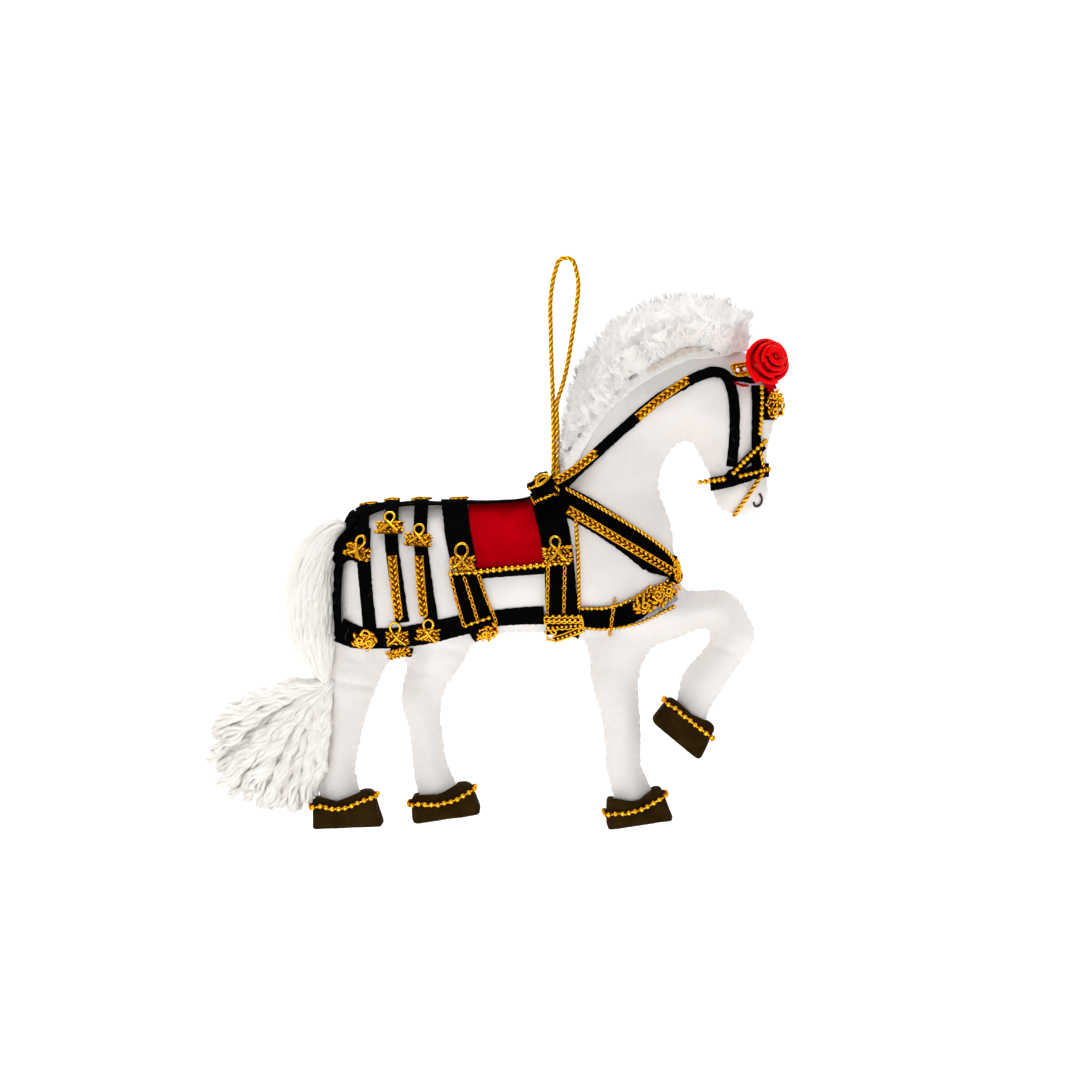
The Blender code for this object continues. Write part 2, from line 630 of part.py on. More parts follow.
def make_harness(ground):
    """The black ribbons and the red saddle cloth, in the order in which they were sewn on."""
    def ribbon(name, controls, width, cells=2, closed=False, thickness=RIBBON_THICKNESS, finish=velvet,
               reach=RAY_START):
        return strip(name, controls, width, thickness, finish(), ground, cells, closed, reach=reach)

    up, down = 90, 270
    cloth = over([(-14, -76.4), (-15, -72), (-16.2, -68.6)], up)
    ribbon("saddle_cloth", cloth, CLOTH_WIDTH, 5, thickness=CLOTH_THICKNESS, finish=red_ribbon)
    ribbon("back_strap", leaning([(-50, -70), (-40, -69), (-25, -69), (-9.5, -69)], 90, up), WIDE_RIBBON, 4)
    thigh = leaning([(-47, -70)], 55, 125) + leaning([(-50.5, -77)], 45, 165)
    thigh += leaning([(-51.5, -85)], 45, 180) + leaning([(-52.2, -89.5)], 30, 200)
    belly = side([(-50.5, -92.6), (-45, -93.2), (-36.5, -92.6), (-28, -91.2), (-21.5, -89.6),
                  (-12, -88.6), (-5.2, -88.2)], 0.9)
    for where, controls in (("near", thigh + belly), ("far", mirrored(thigh + belly))):
        ribbon("breeching_strap_" + where, controls, BREECHING_RIBBON)
    hips = (("rear", [(-49.3, -91.5), (-50.2, -78), (-50.4, -70.5)], 110),
            ("middle", [(-40.8, -90), (-42.4, -78), (-43.2, -69.5)], up),
            ("front", [(-33.6, -90), (-35.2, -78.8), (-35.8, -69)], up))
    for where, places, out in hips:
        ribbon("hip_strap_" + where, over(places, out), HIP_RIBBON)
    for where, change in (("near", list), ("far", mirrored)):
        ribbon("rear_girth_panel_" + where, change(side([(-25.2, -77.5), (-23.6, -83), (-21.8, -90)])),
               PANEL_RIBBON)
    ribbon("rear_saddle_band", over([(-26, -76), (-26.8, -71), (-27.4, -68.6)], up), WIDE_RIBBON)
    for where, change in (("near", list), ("far", mirrored)):
        ribbon("saddle_edge_" + where, change(side([(-21.8, -78), (-13.5, -77.4), (-5.4, -76.8)])),
               EDGE_RIBBON, 1)
    ribbon("front_girth", over([(-1, -83), (-0.8, -88)], down), GIRTH_RIBBON)
    ribbon("front_saddle_band", over([(-1, -87.5), (-1.2, -78), (-2.4, -70), (-3.2, -66.5)], 105),
           WIDE_RIBBON, 3)
    breast = [(-0.8, -61.2), (3.5, -62), (8.5, -64.5), (13.5, -67.5), (18.5, -71.2), (21.5, -73.8)]
    ribbon("breast_strap", over(breast, -18), BREAST_RIBBON)
    ribbon("breast_collar", over([(3.5, -89.2), (8.5, -89), (13.5, -88), (18.2, -85), (20.6, -81.6)], 24),
           COLLAR_RIBBON, reach=0.6 * RAY_START)
    neck = side([(-1, -56.5), (3.5, -52), (13.5, -42.8), (23.5, -34.5), (33.5, -29), (37.5, -28.4),
                 (40.4, -30), (42, -35.5), (42.2, -43.8), (41.5, -51.5)])
    for where, change in (("near", list), ("far", mirrored)):
        ribbon("neck_strap_" + where, change(neck), NECK_RIBBON)
        ribbon("cheek_strap_" + where, change(side([(47.2, -31.5), (47.4, -41), (47.5, -51.5)])),
               HEAD_RIBBON, 1)
        ribbon("nose_strap_" + where, change(side([(48.8, -46.2), (44.5, -50.2), (40.2, -54.2)])),
               HEAD_RIBBON, 1)
    ribbon("noseband", around([(46, -53.2), (43.5, -54), (40.5, -54.6)], 8, 190), NECK_RIBBON, 1, True)
    ribbon("brow_band", over([(40.4, -29.8), (44, -30), (46.4, -30.2)], 20), BROW_RIBBON, 1)


def make_mane(body, straps):
    """A plush strip that saddles the crest."""
    mane = stuffed("mane", MANE_TIP + MANE_ROOT, MANE_DEPTH, 3.4 * UNIT, mane_locks)
    seat(mane, [body, *straps])
    mane.data.materials.append(plush())
    return mane


def make_tail(body, straps):
    """The hank of yarn with its tassel, cut where it meets the rump."""
    tail = stuffed("tail", TAIL_HANK + TASSEL, TAIL_DEPTH, 3.1 * UNIT, tail_locks)
    seat(tail, [body, *straps])
    tail.data.materials.append(yarn())
    return tail


def make_rose(beneath):
    """A domed rose: a disc whose top rises in one spiral fold."""
    rings, spokes = 7, 18
    shape = bmesh.new()
    bmesh.ops.create_circle(shape, cap_ends=False, radius=1, segments=spokes)
    shape.clear()
    levels = []
    for r in range(1, rings + 1):
        share = r / rings
        row = []
        for s in range(spokes):
            turn = 2 * math.pi * s / spokes
            petals = 1 + 0.06 * math.cos(5 * turn) * share
            swirl = 0.16 * math.cos(2 * math.pi * (2.2 * share - turn / (2 * math.pi)))
            lift = ROSE_HEIGHT * (math.sqrt(max(1 - share**2, 0)) * 0.75 + 0.25 + swirl * share * (1.2 - share))
            radius = ROSE_DIAMETER / 2 * share * petals
            row.append(shape.verts.new((radius * math.cos(turn), -lift, radius * math.sin(turn))))
        levels.append(row)
    base = [shape.verts.new((v.co.x * 0.8, 0.3 * ROSE_HEIGHT, v.co.z * 0.8)) for v in levels[-1]]
    levels.append(base)
    top = shape.verts.new((0, -ROSE_HEIGHT, 0))
    for s in range(spokes):
        after = (s + 1) % spokes
        shape.faces.new((top, levels[0][s], levels[0][after]))
        for low, high in zip(levels, levels[1:]):
            shape.faces.new((low[s], high[s], high[after], low[after]))
    shape.faces.new(base)
    bmesh.ops.recalc_face_normals(shape, faces=shape.faces)
    mesh = bpy.data.meshes.new("rose")
    shape.to_mesh(mesh)
    shape.free()
    rose = link(bpy.data.objects.new("rose", mesh), "rose")
    tilt, out = math.radians(24), math.radians(20)
    facing = (math.sin(tilt) * math.cos(out), -math.cos(tilt), math.sin(tilt) * math.sin(out))
    along = Vector((math.cos(tilt), math.sin(tilt), 0)).normalized()
    normal = Vector(facing)
    along = (along - normal * along.dot(normal)).normalized()
    placed(rose, Vector((49.3, 0, -25.4)) * UNIT + Vector((0, -5.2, 0)) * UNIT, normal, along)
    seat(rose, beneath)
    rose.data.materials.append(red_resin())
    return rose


def make_bow(ground):
    """The folded knot of black ribbon at the withers, that holds the loop."""
    controls = fold((-0.6, -61.6), 132, tilts=(25, 60, 90, 120, 155))
    return strip("withers_bow", controls, KNOT_WIDTH, KNOT_THICKNESS, velvet(), ground, cells=3, step=0.6 * RIBBON_STEP)


def cord_route(foot):
    """The hanging loop's own points, hand placed: up one leg, round the top and down the other."""
    lean = 0.5 * CORD_DIAMETER + 0.5 * CLEARANCE
    top = LOOP_RADIUS
    rise = 0.5 * CORD_DIAMETER
    rear = [(-0.0036, -lean, foot), (-0.0031, -lean, -0.0437), (-0.0032, -lean, -0.0353),
            (-0.0033, -0.0003, -0.0260), (-0.0036, 0, -0.0180), (-0.0038, 0, -0.0110),
            (-0.0034, 0, -0.0060), (-top, 0, rise - top)]
    crown = [(top * math.cos(a), 0, rise - top + top * math.sin(a)) for a in (2.3, math.pi / 2, 0.85)]
    front = [(top, 0, rise - top), (0.0031, 0, -0.0060), (0.0027, 0, -0.0110), (0.0017, 0, -0.0180),
             (0.0004, 0.0003, -0.0260), (-0.0012, lean, -0.0353), (-0.0024, lean, -0.0437),
             (-0.0030, lean, foot)]
    return rear + crown + front


def make_loop(ground):
    """The hanging cord: one tube along a smooth curve through the route, its ends on the knot."""
    rims = [(-0.0033 + dx, dy, -0.07) for dx in (-0.001, 0, 0.001) for dy in (-0.0013, 0, 0.0013)]
    foot = max(-0.07 + ground.height(rim, (0, 0, 1), 0.04) for rim in rims) + 2 * CLEARANCE
    line = smooth_line(cord_route(foot), 2.5 * CORD_DIAMETER, measured=3)
    curve = bpy.data.curves.new("hanging_loop", "CURVE")
    curve.dimensions = "3D"
    curve.bevel_depth = CORD_DIAMETER / 2
    curve.bevel_resolution = 2
    curve.use_fill_caps = True
    spline = curve.splines.new("POLY")
    spline.points.add(len(line) - 1)
    for point, place in zip(spline.points, line):
        point.co = (*place, 1)
    loop = link(bpy.data.objects.new("hanging_loop", curve), "hanging_loop")
    curve.materials.append(gold())
    return loop


def make_trim(ground):
    """The gilt buckles, braids, chains and clasps, laid on the harness."""
    def braid(name, places, width=BRAID_WIDTH, thickness=BRAID_WIDTH / 2, cells=1, edge=None):
        controls = side(places) if edge is None else over(places, edge)
        strip(name, controls, width, thickness, gold(), ground, cells)

    def buckle(name, place, size=(BUCKLE_LENGTH, BUCKLE_HEIGHT), turn=0.0, ring=BUCKLE_RING):
        plate(name, place, gold(), ground, size, BUCKLE_THICKNESS, turn=turn, ring=ring)

    braid("hip_braid_middle", [(-43.4, -73.8), (-42.4, -81), (-41.4, -88.5)])
    braid("hip_braid_front", [(-36, -73.8), (-35.6, -81), (-34.6, -88)])
    braid("neck_braid_low", [(-2.4, -55.6), (2, -52.6), (7.2, -48.2)])
    braid("neck_braid_high", [(17.5, -39.6), (23.6, -34.4), (29.8, -30.4)])
    braid("saddle_bead_chain", [(-29, -78.2), (-21.5, -77.8), (-10, -76.6), (1, -75.6)], BEAD_SIZE, BEAD_SIZE)
    braid("cheek_chain", [(47.4, -32.6), (47.5, -38), (47.5, -43.6)], BEAD_SIZE, BEAD_SIZE)
    braid("rein", [(45.6, -56.4), (43.6, -59.6), (42.4, -62.6)], BEAD_SIZE, BEAD_SIZE / 2)
    braid("breast_ornament", [(15.6, -85.2), (19.5, -83.6), (25.4, -81.2)], 0.0066, BUCKLE_THICKNESS, 2)
    buckle("buckle_hip_rear", (-51.6, -72.4), turn=-20)
    buckle("buckle_hip_middle", (-44, -67.4))
    buckle("buckle_hip_front", (-36.6, -70.6), turn=-5)
    buckle("buckle_saddle_rear", (-26, -75), (0.0062, 0.0037))
    buckle("buckle_saddle_front", (-2.2, -73.2))
    buckle("buckle_breeching_rear", (-49.4, -94.6), ring=0)
    buckle("buckle_breeching_middle", (-41.6, -93.6))
    buckle("buckle_breeching_front", (-34, -92.8))
    buckle("slide_belly_rear", (-20, -91.6), (0.0055, 0.0045), ring=0)
    buckle("slide_hock", (-41.4, -97), (0.0058, 0.0022), ring=0)
    buckle("girth_clasp", (-0.8, -89.6), (0.0092, 0.0044), ring=0)
    plate("forehead_brooch", (46.5, -35.6), gold(), ground, (0.0052, 0.0074), 0.0014, tilt=50)
    plate("poll_clasp", (43.2, -27.6), gold(), ground, (0.0048, 0.0036), BUCKLE_THICKNESS, turn=15)
    plate("rose_ribbon", (48.6, -31.6), red_ribbon(), ground, (0.0032, 0.0030), CLOTH_THICKNESS, tilt=35)


def main():
    for obj in list(bpy.data.objects):
        bpy.data.objects.remove(obj)
    for name in (COLLECTION, CUTTERS):
        bpy.context.scene.collection.children.link(bpy.data.collections.new(name))
    ground = Ground()
    outline = BACK + CREST + FACE + THROAT + RAISED_LEG + STANDING_LEG + BELLY + NEAR_HIND_LEG + REAR_HIND_LEG
    body = stuffed("horse_body", outline, BODY_DEPTH, 4.9 * UNIT)
    body.data.materials.append(velveteen())
    ground.add(body)
    make_hooves(body, ground)
    make_harness(ground)
    node = bpy.data.objects
    mane = make_mane(body, [node["neck_strap_near"], node["neck_strap_far"]])
    straps = [node["breeching_strap_near"], node["breeching_strap_far"], node["back_strap"],
              node["hip_strap_rear"]]
    tail = make_tail(body, straps)
    ground.add(mane, tail)
    make_bow(ground)
    make_loop(ground)
    make_trim(ground)
    beneath = [body, mane, node["brow_band"], node["poll_clasp"], node["forehead_brooch"],
               node["rose_ribbon"], node["neck_strap_near"], node["cheek_strap_near"], node["cheek_chain"]]
    make_rose(beneath)
    for obj in bpy.data.collections[COLLECTION].objects:
        if obj.type == "MESH":
            obj.data.shade_smooth()


main()
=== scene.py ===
"""A stuffed parade horse of white velveteen in a black and gold ribbon harness, dressed round its frame.

Frame: metres, +X towards the nose, +Z up, the shown side at -Y. The two sewn layers of the horse meet
in the XZ plane, and the origin is the inside top of the hanging loop. Places on the horse are given in
units, a 118th of the height of its skin, which is a millimetre on the horse as it was made.
"""

import sys

import json
import logging
import math
from collections.abc import Callable
from dataclasses import dataclass, field
from enum import Enum

import bpy
import numpy as np
from mathutils import Matrix, Vector, noise
from mathutils.bvhtree import BVHTree
from mathutils.kdtree import KDTree

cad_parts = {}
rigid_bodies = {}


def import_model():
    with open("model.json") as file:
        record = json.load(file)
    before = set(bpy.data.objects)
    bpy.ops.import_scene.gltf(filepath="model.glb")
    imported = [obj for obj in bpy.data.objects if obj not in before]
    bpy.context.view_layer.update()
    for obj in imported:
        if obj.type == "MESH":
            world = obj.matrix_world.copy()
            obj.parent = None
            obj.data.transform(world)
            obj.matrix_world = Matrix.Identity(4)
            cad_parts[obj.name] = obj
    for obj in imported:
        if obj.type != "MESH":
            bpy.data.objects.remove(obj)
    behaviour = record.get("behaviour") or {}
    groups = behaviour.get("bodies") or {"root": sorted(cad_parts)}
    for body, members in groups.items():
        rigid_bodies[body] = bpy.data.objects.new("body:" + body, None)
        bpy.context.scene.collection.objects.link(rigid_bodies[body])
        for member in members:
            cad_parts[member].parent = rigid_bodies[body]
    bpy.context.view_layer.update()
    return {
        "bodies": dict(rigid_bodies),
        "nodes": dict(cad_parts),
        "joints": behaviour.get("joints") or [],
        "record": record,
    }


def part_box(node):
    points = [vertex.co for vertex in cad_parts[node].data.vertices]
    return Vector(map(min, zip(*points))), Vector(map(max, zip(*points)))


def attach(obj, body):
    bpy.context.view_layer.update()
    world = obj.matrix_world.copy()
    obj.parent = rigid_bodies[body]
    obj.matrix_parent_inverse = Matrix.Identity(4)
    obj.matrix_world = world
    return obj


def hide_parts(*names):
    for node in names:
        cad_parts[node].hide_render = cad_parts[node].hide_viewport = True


LOG = logging.getLogger("parade_horse")
MM = 0.001
SKIN_HEIGHT_UNITS = 118.0
WRAP_UNITS = 8
REACH_UNITS = 17
TAUT_ROUNDS = 60
STEEPEST = 0.6
DOUBLED = 2e-6
TINY = 1e-6
SEED = 20
TO_VIEWER = np.array([0.0, -1.0, 0.0])

Place = tuple[float, float]
Control = tuple[float, float, float, float, float]


def deselect() -> None:
    """Deselect every object."""
    for obj in bpy.context.selected_objects:
        obj.select_set(False)


def take(obj: bpy.types.Object) -> bpy.types.Object:
    """Make the object active and the only one selected."""
    deselect()
    bpy.context.view_layer.objects.active = obj
    obj.select_set(True)
    return obj


def work(obj: bpy.types.Object, kind: str, **settings: object) -> bpy.types.Object:
    """Give the object one modifier and apply it.

    Args:
        obj: The object to work on.
        kind: Blender's name of the modifier type.
        **settings: Values of the modifier's own properties.

    Returns:
        The object.
    """
    modifier = obj.modifiers.new(kind.lower(), kind)
    for key, value in settings.items():
        setattr(modifier, key, value)
    take(obj)
    bpy.ops.object.modifier_apply(modifier=modifier.name)
    return obj


def edit(obj: bpy.types.Object, operator: Callable, **settings: object) -> bpy.types.Object:
    """Use one mesh operator on the whole of the object's mesh."""
    take(obj)
    bpy.ops.object.mode_set(mode="EDIT")
    bpy.ops.mesh.select_all(action="SELECT")
    operator(**settings)
    bpy.ops.object.mode_set(mode="OBJECT")
    return obj


def merge_doubles(obj: bpy.types.Object, distance: float = TINY) -> bpy.types.Object:
    """Join the vertices that lie on each other, and turn the faces outwards."""
    edit(obj, bpy.ops.mesh.remove_doubles, threshold=distance)
    return edit(obj, bpy.ops.mesh.normals_make_consistent, inside=False)


def merged_copy(source: bpy.types.Object, name: str) -> bpy.types.Object:
    """A copy of a CAD node, its doubled vertices joined."""
    obj = bpy.data.objects.new(name, source.data.copy())
    bpy.context.scene.collection.objects.link(obj)
    return merge_doubles(obj, DOUBLED)


def settle(obj: bpy.types.Object) -> bpy.types.Object:
    """Work the object's place into its mesh, so that it sits at the origin."""
    obj.data.transform(obj.matrix_world)
    obj.matrix_world = Matrix.Identity(4)
    return obj


def corners_of(obj: bpy.types.Object) -> np.ndarray:
    """Every vertex of the object's mesh, one to a row."""
    flat = np.zeros(len(obj.data.vertices) * 3)
    obj.data.vertices.foreach_get("co", flat)
    return flat.reshape(-1, 3)


def move_corners(obj: bpy.types.Object, points: np.ndarray) -> None:
    """Put every vertex of the object's mesh at its new place."""
    obj.data.vertices.foreach_set("co", points.ravel())
    obj.data.update()


def normals_of(obj: bpy.types.Object) -> np.ndarray:
    """The normal at every vertex of the object's mesh."""
    flat = np.zeros(len(obj.data.vertices) * 3)
    obj.data.vertex_normals.foreach_get("vector", flat)
    return flat.reshape(-1, 3)


def unit_rows(vectors: np.ndarray) -> np.ndarray:
    """Each row with length one."""
    return vectors / np.maximum(np.linalg.norm(vectors, axis=-1, keepdims=True), 1e-12)


def lengths_along(line: np.ndarray) -> np.ndarray:
    """How far along a line each of its points is."""
    return np.concatenate([[0], np.cumsum(np.linalg.norm(np.diff(line, axis=0), axis=1))])


def finder(points: np.ndarray) -> KDTree:
    """A tree that finds the nearest of these points."""
    tree = KDTree(len(points))
    for i, place in enumerate(points):
        tree.insert(place, i)
    tree.balance()
    return tree


def hump(away: np.ndarray, width: float, middle: float = 0.0) -> np.ndarray:
    """How high a smooth hump, one high and about this wide, stands at these distances."""
    return np.exp(-(((away - middle) / width) ** 2))


def facing_way(tilt: float, out: float) -> np.ndarray:
    """The way that a face looks, turned from the viewer towards an edge, by angles in degrees."""
    tilt, out = math.radians(tilt), math.radians(out)
    return np.array([math.sin(tilt) * math.cos(out), -math.cos(tilt), math.sin(tilt) * math.sin(out)])


def linear(code: str) -> tuple[float, float, float, float]:
    """Turn an sRGB hex value into a linear colour with alpha."""
    values = [int(code[i:i + 2], 16) / 255 for i in (1, 3, 5)]
    red, green, blue = (v / 12.92 if v <= 0.04045 else ((v + 0.055) / 1.055) ** 2.4 for v in values)
    return (red, green, blue, 1.0)


def add_node(tree: bpy.types.NodeTree, kind: str, values: dict | None = None, links: dict | None = None,
             **settings: object) -> bpy.types.Node:
    """Add a shader node with its settings, its socket values and its links.

    Args:
        tree: The material's node tree.
        kind: The node's type, without Blender's ShaderNode before it.
        values: Values by input socket.
        links: Nodes or output sockets by input socket.
        **settings: Values of the node's own properties.

    Returns:
        The node.
    """
    made = tree.nodes.new("ShaderNode" + kind)
    for key, value in settings.items():
        setattr(made, key, value)
    for socket, value in (values or {}).items():
        made.inputs[socket].default_value = value
    for socket, source in (links or {}).items():
        tree.links.new(source.outputs[0] if isinstance(source, bpy.types.Node) else source, made.inputs[socket])
    return made


@dataclass(frozen=True)
class Finish:
    """What a surface is made of, with two colours and the size of its grain."""

    name: str
    colour: str
    shade: str
    roughness: float
    grain: float = 0.3 * MM
    relief: float = 0.05 * MM
    patches: float = 6.0 * MM
    metallic: float = 0.0
    sheen: float = 0.0
    coat: float = 0.0
    specular: float = 0.5

    def shader(self, tree: bpy.types.NodeTree) -> bpy.types.Node:
        """Start the material's tree with its shader, and set what is the same all over."""
        tree.nodes.clear()
        shader = add_node(tree, "BsdfPrincipled", {
            "Roughness": self.roughness, "Metallic": self.metallic, "Sheen Weight": self.sheen,
            "Sheen Roughness": 0.4, "Coat Weight": self.coat, "Coat Roughness": 0.12,
            "Specular IOR Level": self.specular})
        add_node(tree, "OutputMaterial", links={"Surface": shader})
        return shader

    def mottled(self, tree: bpy.types.NodeTree, size: float, low: float, high: float,
                detail: float = 3.0) -> bpy.types.Node:
        """A noise of patches this size, from 0 to 1 with its middle stretched."""
        place = add_node(tree, "TexCoord")
        cloud = add_node(tree, "TexNoise", {"Scale": 1 / size, "Detail": detail},
                         {"Vector": place.outputs["Object"]})
        return add_node(tree, "MapRange", {"From Min": low, "From Max": high}, {"Value": cloud.outputs["Fac"]})

    def mixed(self, tree: bpy.types.NodeTree, share: bpy.types.Node, first: str | bpy.types.NodeSocket,
              second: str) -> bpy.types.NodeSocket:
        """Mix two colours, the first a hex value or a socket, by a share that varies over the surface."""
        mix = add_node(tree, "Mix", data_type="RGBA")
        factor, colours, result = mix.inputs[0], mix.inputs[6:8], mix.outputs[2]
        tree.links.new(share.outputs[0], factor)
        if isinstance(first, str):
            colours[0].default_value = linear(first)
        else:
            tree.links.new(first, colours[0])
        colours[1].default_value = linear(second)
        return result

    def paint(self, tree: bpy.types.NodeTree, shader: bpy.types.Node) -> None:
        """Colour patches and a fine grain, the same for most cloths."""
        patches = self.mottled(tree, self.patches, 0.35, 0.7)
        colour = self.mixed(tree, patches, self.colour, self.shade)
        tree.links.new(colour, shader.inputs["Base Color"])
        grain = self.mottled(tree, self.grain, 0.3, 0.7)
        bump = add_node(tree, "Bump", {"Distance": self.relief, "Strength": 0.6}, {"Height": grain})
        tree.links.new(bump.outputs[0], shader.inputs["Normal"])

    def material(self) -> bpy.types.Material:
        """The finish as a material, made once, under a name that no colour of the frame has."""
        name = f"finish_{self.name}"
        made = bpy.data.materials.get(name)
        if made is None:
            made = bpy.data.materials.new(name)
            made.use_nodes = True
            self.paint(made.node_tree, self.shader(made.node_tree))
            made.diffuse_color = linear(self.colour)
        return made


@dataclass(frozen=True)
class Pile(Finish):
    """Brushed cloth with a short pile: a soft edge glow, fine grain and a few flecks of dust."""

    flecks: str = ""

    def paint(self, tree: bpy.types.NodeTree, shader: bpy.types.Node) -> None:
        """Pile grain over faint patches, with flecks where there are any."""
        patches = self.mottled(tree, self.patches, 0.35, 0.7)
        fine = self.mottled(tree, self.grain, 0.35, 0.75)
        both = add_node(tree, "Math", {1: 0.5}, {0: patches}, operation="MULTIPLY")
        share = add_node(tree, "Math", {1: 0.5}, {0: fine, 2: both}, operation="MULTIPLY_ADD")
        colour = self.mixed(tree, share, self.colour, self.shade)
        if self.flecks:
            place = add_node(tree, "TexCoord")
            dots = add_node(tree, "TexVoronoi", {"Scale": 1 / (3.4 * MM), "Randomness": 1.0},
                            {"Vector": place.outputs["Object"]})
            spot = add_node(tree, "MapRange", {"From Min": 0.035, "From Max": 0.05, "To Min": 0.75, "To Max": 0.0},
                            {"Value": dots.outputs["Distance"]})
            colour = self.mixed(tree, spot, colour, self.flecks)
        tree.links.new(colour, shader.inputs["Base Color"])
        bump = add_node(tree, "Bump", {"Distance": self.relief, "Strength": 0.7}, {"Height": fine})
        tree.links.new(bump.outputs[0], shader.inputs["Normal"])


@dataclass(frozen=True)
class Fibre(Finish):
    """Loose fibre: each strand has its own tone, and painted shade darkens the hollows."""

    def paint(self, tree: bpy.types.NodeTree, shader: bpy.types.Node) -> None:
        """Colour by the strand's own tone and by how deep the surface lies in its twist, as painted shade."""
        tone = add_node(tree, "Attribute", attribute_name="tone")
        relief = add_node(tree, "Attribute", attribute_name="relief")
        hollow = add_node(tree, "Math", {0: 1.0}, {1: relief.outputs["Fac"]}, operation="SUBTRACT")
        hollow_shade = add_node(tree, "Math", {1: 0.62}, {0: hollow}, operation="MULTIPLY")
        share = add_node(tree, "Math", {1: 0.38}, {0: tone.outputs["Fac"], 2: hollow_shade}, operation="MULTIPLY_ADD")
        colour = self.mixed(tree, share, self.colour, self.shade)
        tree.links.new(colour, shader.inputs["Base Color"])
        place = add_node(tree, "UVMap")
        wave = add_node(tree, "TexWave", {"Scale": 14.0, "Distortion": 3.0, "Detail": 2.0},
                        {"Vector": place}, bands_direction="DIAGONAL")
        bump = add_node(tree, "Bump", {"Distance": self.relief, "Strength": 0.5}, {"Height": wave.outputs["Fac"]})
        tree.links.new(bump.outputs[0], shader.inputs["Normal"])


@dataclass(frozen=True)
class Gilt(Finish):
    """Gilt metal thread and stampings, with a painted highlight on the crests and painted shade, dark brown, in the
    hollows.
    """

    # Colour of the painted highlight on the crests
    crest: str = "#FFCC3A"

    def painted_light_ramp(self, tree: bpy.types.NodeTree, height: bpy.types.Node) -> bpy.types.Node:
        """The colours from painted shade at the bottom of the hollows to the painted highlight on the crests."""
        made = add_node(tree, "ValToRGB", links={"Fac": height})
        # The near black and dark brown stops are painted shade in the hollows, and the crest stop is a painted
        # highlight
        stops = ((0.0, "#1E0D02"), (0.25, self.shade), (0.48, "#B66A06"), (0.72, self.colour), (1.0, self.crest))
        points = made.color_ramp.elements
        for place, _ in stops[1:-1]:
            points.new(place)
        for point, (place, code) in zip(points, stops):
            point.position = place
            point.color = linear(code)
        return made

    def paint(self, tree: bpy.types.NodeTree, shader: bpy.types.Node) -> None:
        """Colour and roughness by height in the relief, broken up by the facets of the foil: the colour is painted
        shade in the hollows and a painted highlight on the crests.
        """
        relief = add_node(tree, "Attribute", attribute_name="relief")
        facets = self.mottled(tree, self.patches, 0.3, 0.7, 2.0)
        broken = add_node(tree, "Math", {1: 0.3, 2: -0.15}, {0: facets}, operation="MULTIPLY_ADD")
        height = add_node(tree, "Math", {}, {0: relief.outputs["Fac"], 1: broken}, operation="ADD", use_clamp=True)
        tree.links.new(self.painted_light_ramp(tree, height).outputs["Color"], shader.inputs["Base Color"])
        shader.inputs["Specular Tint"].default_value = linear("#FFBE46")
        rough = add_node(tree, "MapRange", {"To Min": self.roughness + 0.2, "To Max": self.roughness},
                         {"Value": height})
        tree.links.new(rough.outputs[0], shader.inputs["Roughness"])
        grain = self.mottled(tree, self.grain, 0.3, 0.7, 2.0)
        bump = add_node(tree, "Bump", {"Distance": self.relief, "Strength": 0.6}, {"Height": grain})
        tree.links.new(bump.outputs[0], shader.inputs["Normal"])


@dataclass(frozen=True)
class Weave(Finish):
    """Ribbed ribbon: fine ribs run across its length."""

    rib: float = 0.45 * MM

    def paint(self, tree: bpy.types.NodeTree, shader: bpy.types.Node) -> None:
        """Ribs from the ribbon's own length, over faint patches."""
        patches = self.mottled(tree, self.patches, 0.3, 0.75)
        colour = self.mixed(tree, patches, self.colour, self.shade)
        tree.links.new(colour, shader.inputs["Base Color"])
        place = add_node(tree, "UVMap")
        ribs = add_node(tree, "TexWave", {"Scale": 1 / (self.rib * 2 * math.pi), "Distortion": 0.6},
                        {"Vector": place}, bands_direction="Y")
        grain = self.mottled(tree, self.grain, 0.3, 0.7)
        height = add_node(tree, "Math", {1: 0.6}, {0: grain, 2: ribs.outputs["Fac"]}, operation="MULTIPLY_ADD")
        bump = add_node(tree, "Bump", {"Distance": self.relief, "Strength": 0.5}, {"Height": height})
        tree.links.new(bump.outputs[0], shader.inputs["Normal"])


@dataclass(frozen=True)
class ShadedResin(Finish):
    """Cast resin, dyed through, with painted shade from ambient occlusion deep in its folds."""

    def paint(self, tree: bpy.types.NodeTree, shader: bpy.types.Node) -> None:
        """Colour by how closed in the place is: painted shade where it is closed in."""
        closed = add_node(tree, "AmbientOcclusion", {"Distance": 1.6 * MM}, samples=6)
        share = add_node(tree, "MapRange", {"From Min": 0.25, "From Max": 0.95}, {"Value": closed.outputs["AO"]})
        tree.links.new(self.mixed(tree, share, self.shade, self.colour), shader.inputs["Base Color"])


@dataclass(frozen=True)
class Clear(Finish):
    """Clear film and hardened glue, which takes its look from what is behind it."""

    def shader(self, tree: bpy.types.NodeTree) -> bpy.types.Node:
        """The usual start, with light going through."""
        made = super().shader(tree)
        made.inputs["Transmission Weight"].default_value = 0.7
        return made


# Cotton velveteen, brushed: matt white with a faint warm grey in the lie of the pile
VELVETEEN = Pile("white_velveteen", "#ECE7E4", "#E1DBD7", 0.92, 0.3 * MM, 0.06 * MM, 9 * MM, sheen=0.22,
                 specular=0.1, flecks="#C9BDB4")
# Acrylic plush with a long pile, creamier towards the roots with painted shade deep in the pile
PLUSH = Fibre("white_plush", "#FFFEFD", "#F7F1EA", 0.9, specular=0.1, relief=0.01 * MM)
# Loosely spun wool and acrylic yarn
YARN = Fibre("white_yarn", "#FFFEFB", "#F3E8DA", 0.9, specular=0.15, relief=0.03 * MM)
# Sewing thread of the seams
THREAD = Fibre("white_thread", "#FBF8F6", "#E9E2DD", 0.8, specular=0.2, relief=0.01 * MM)
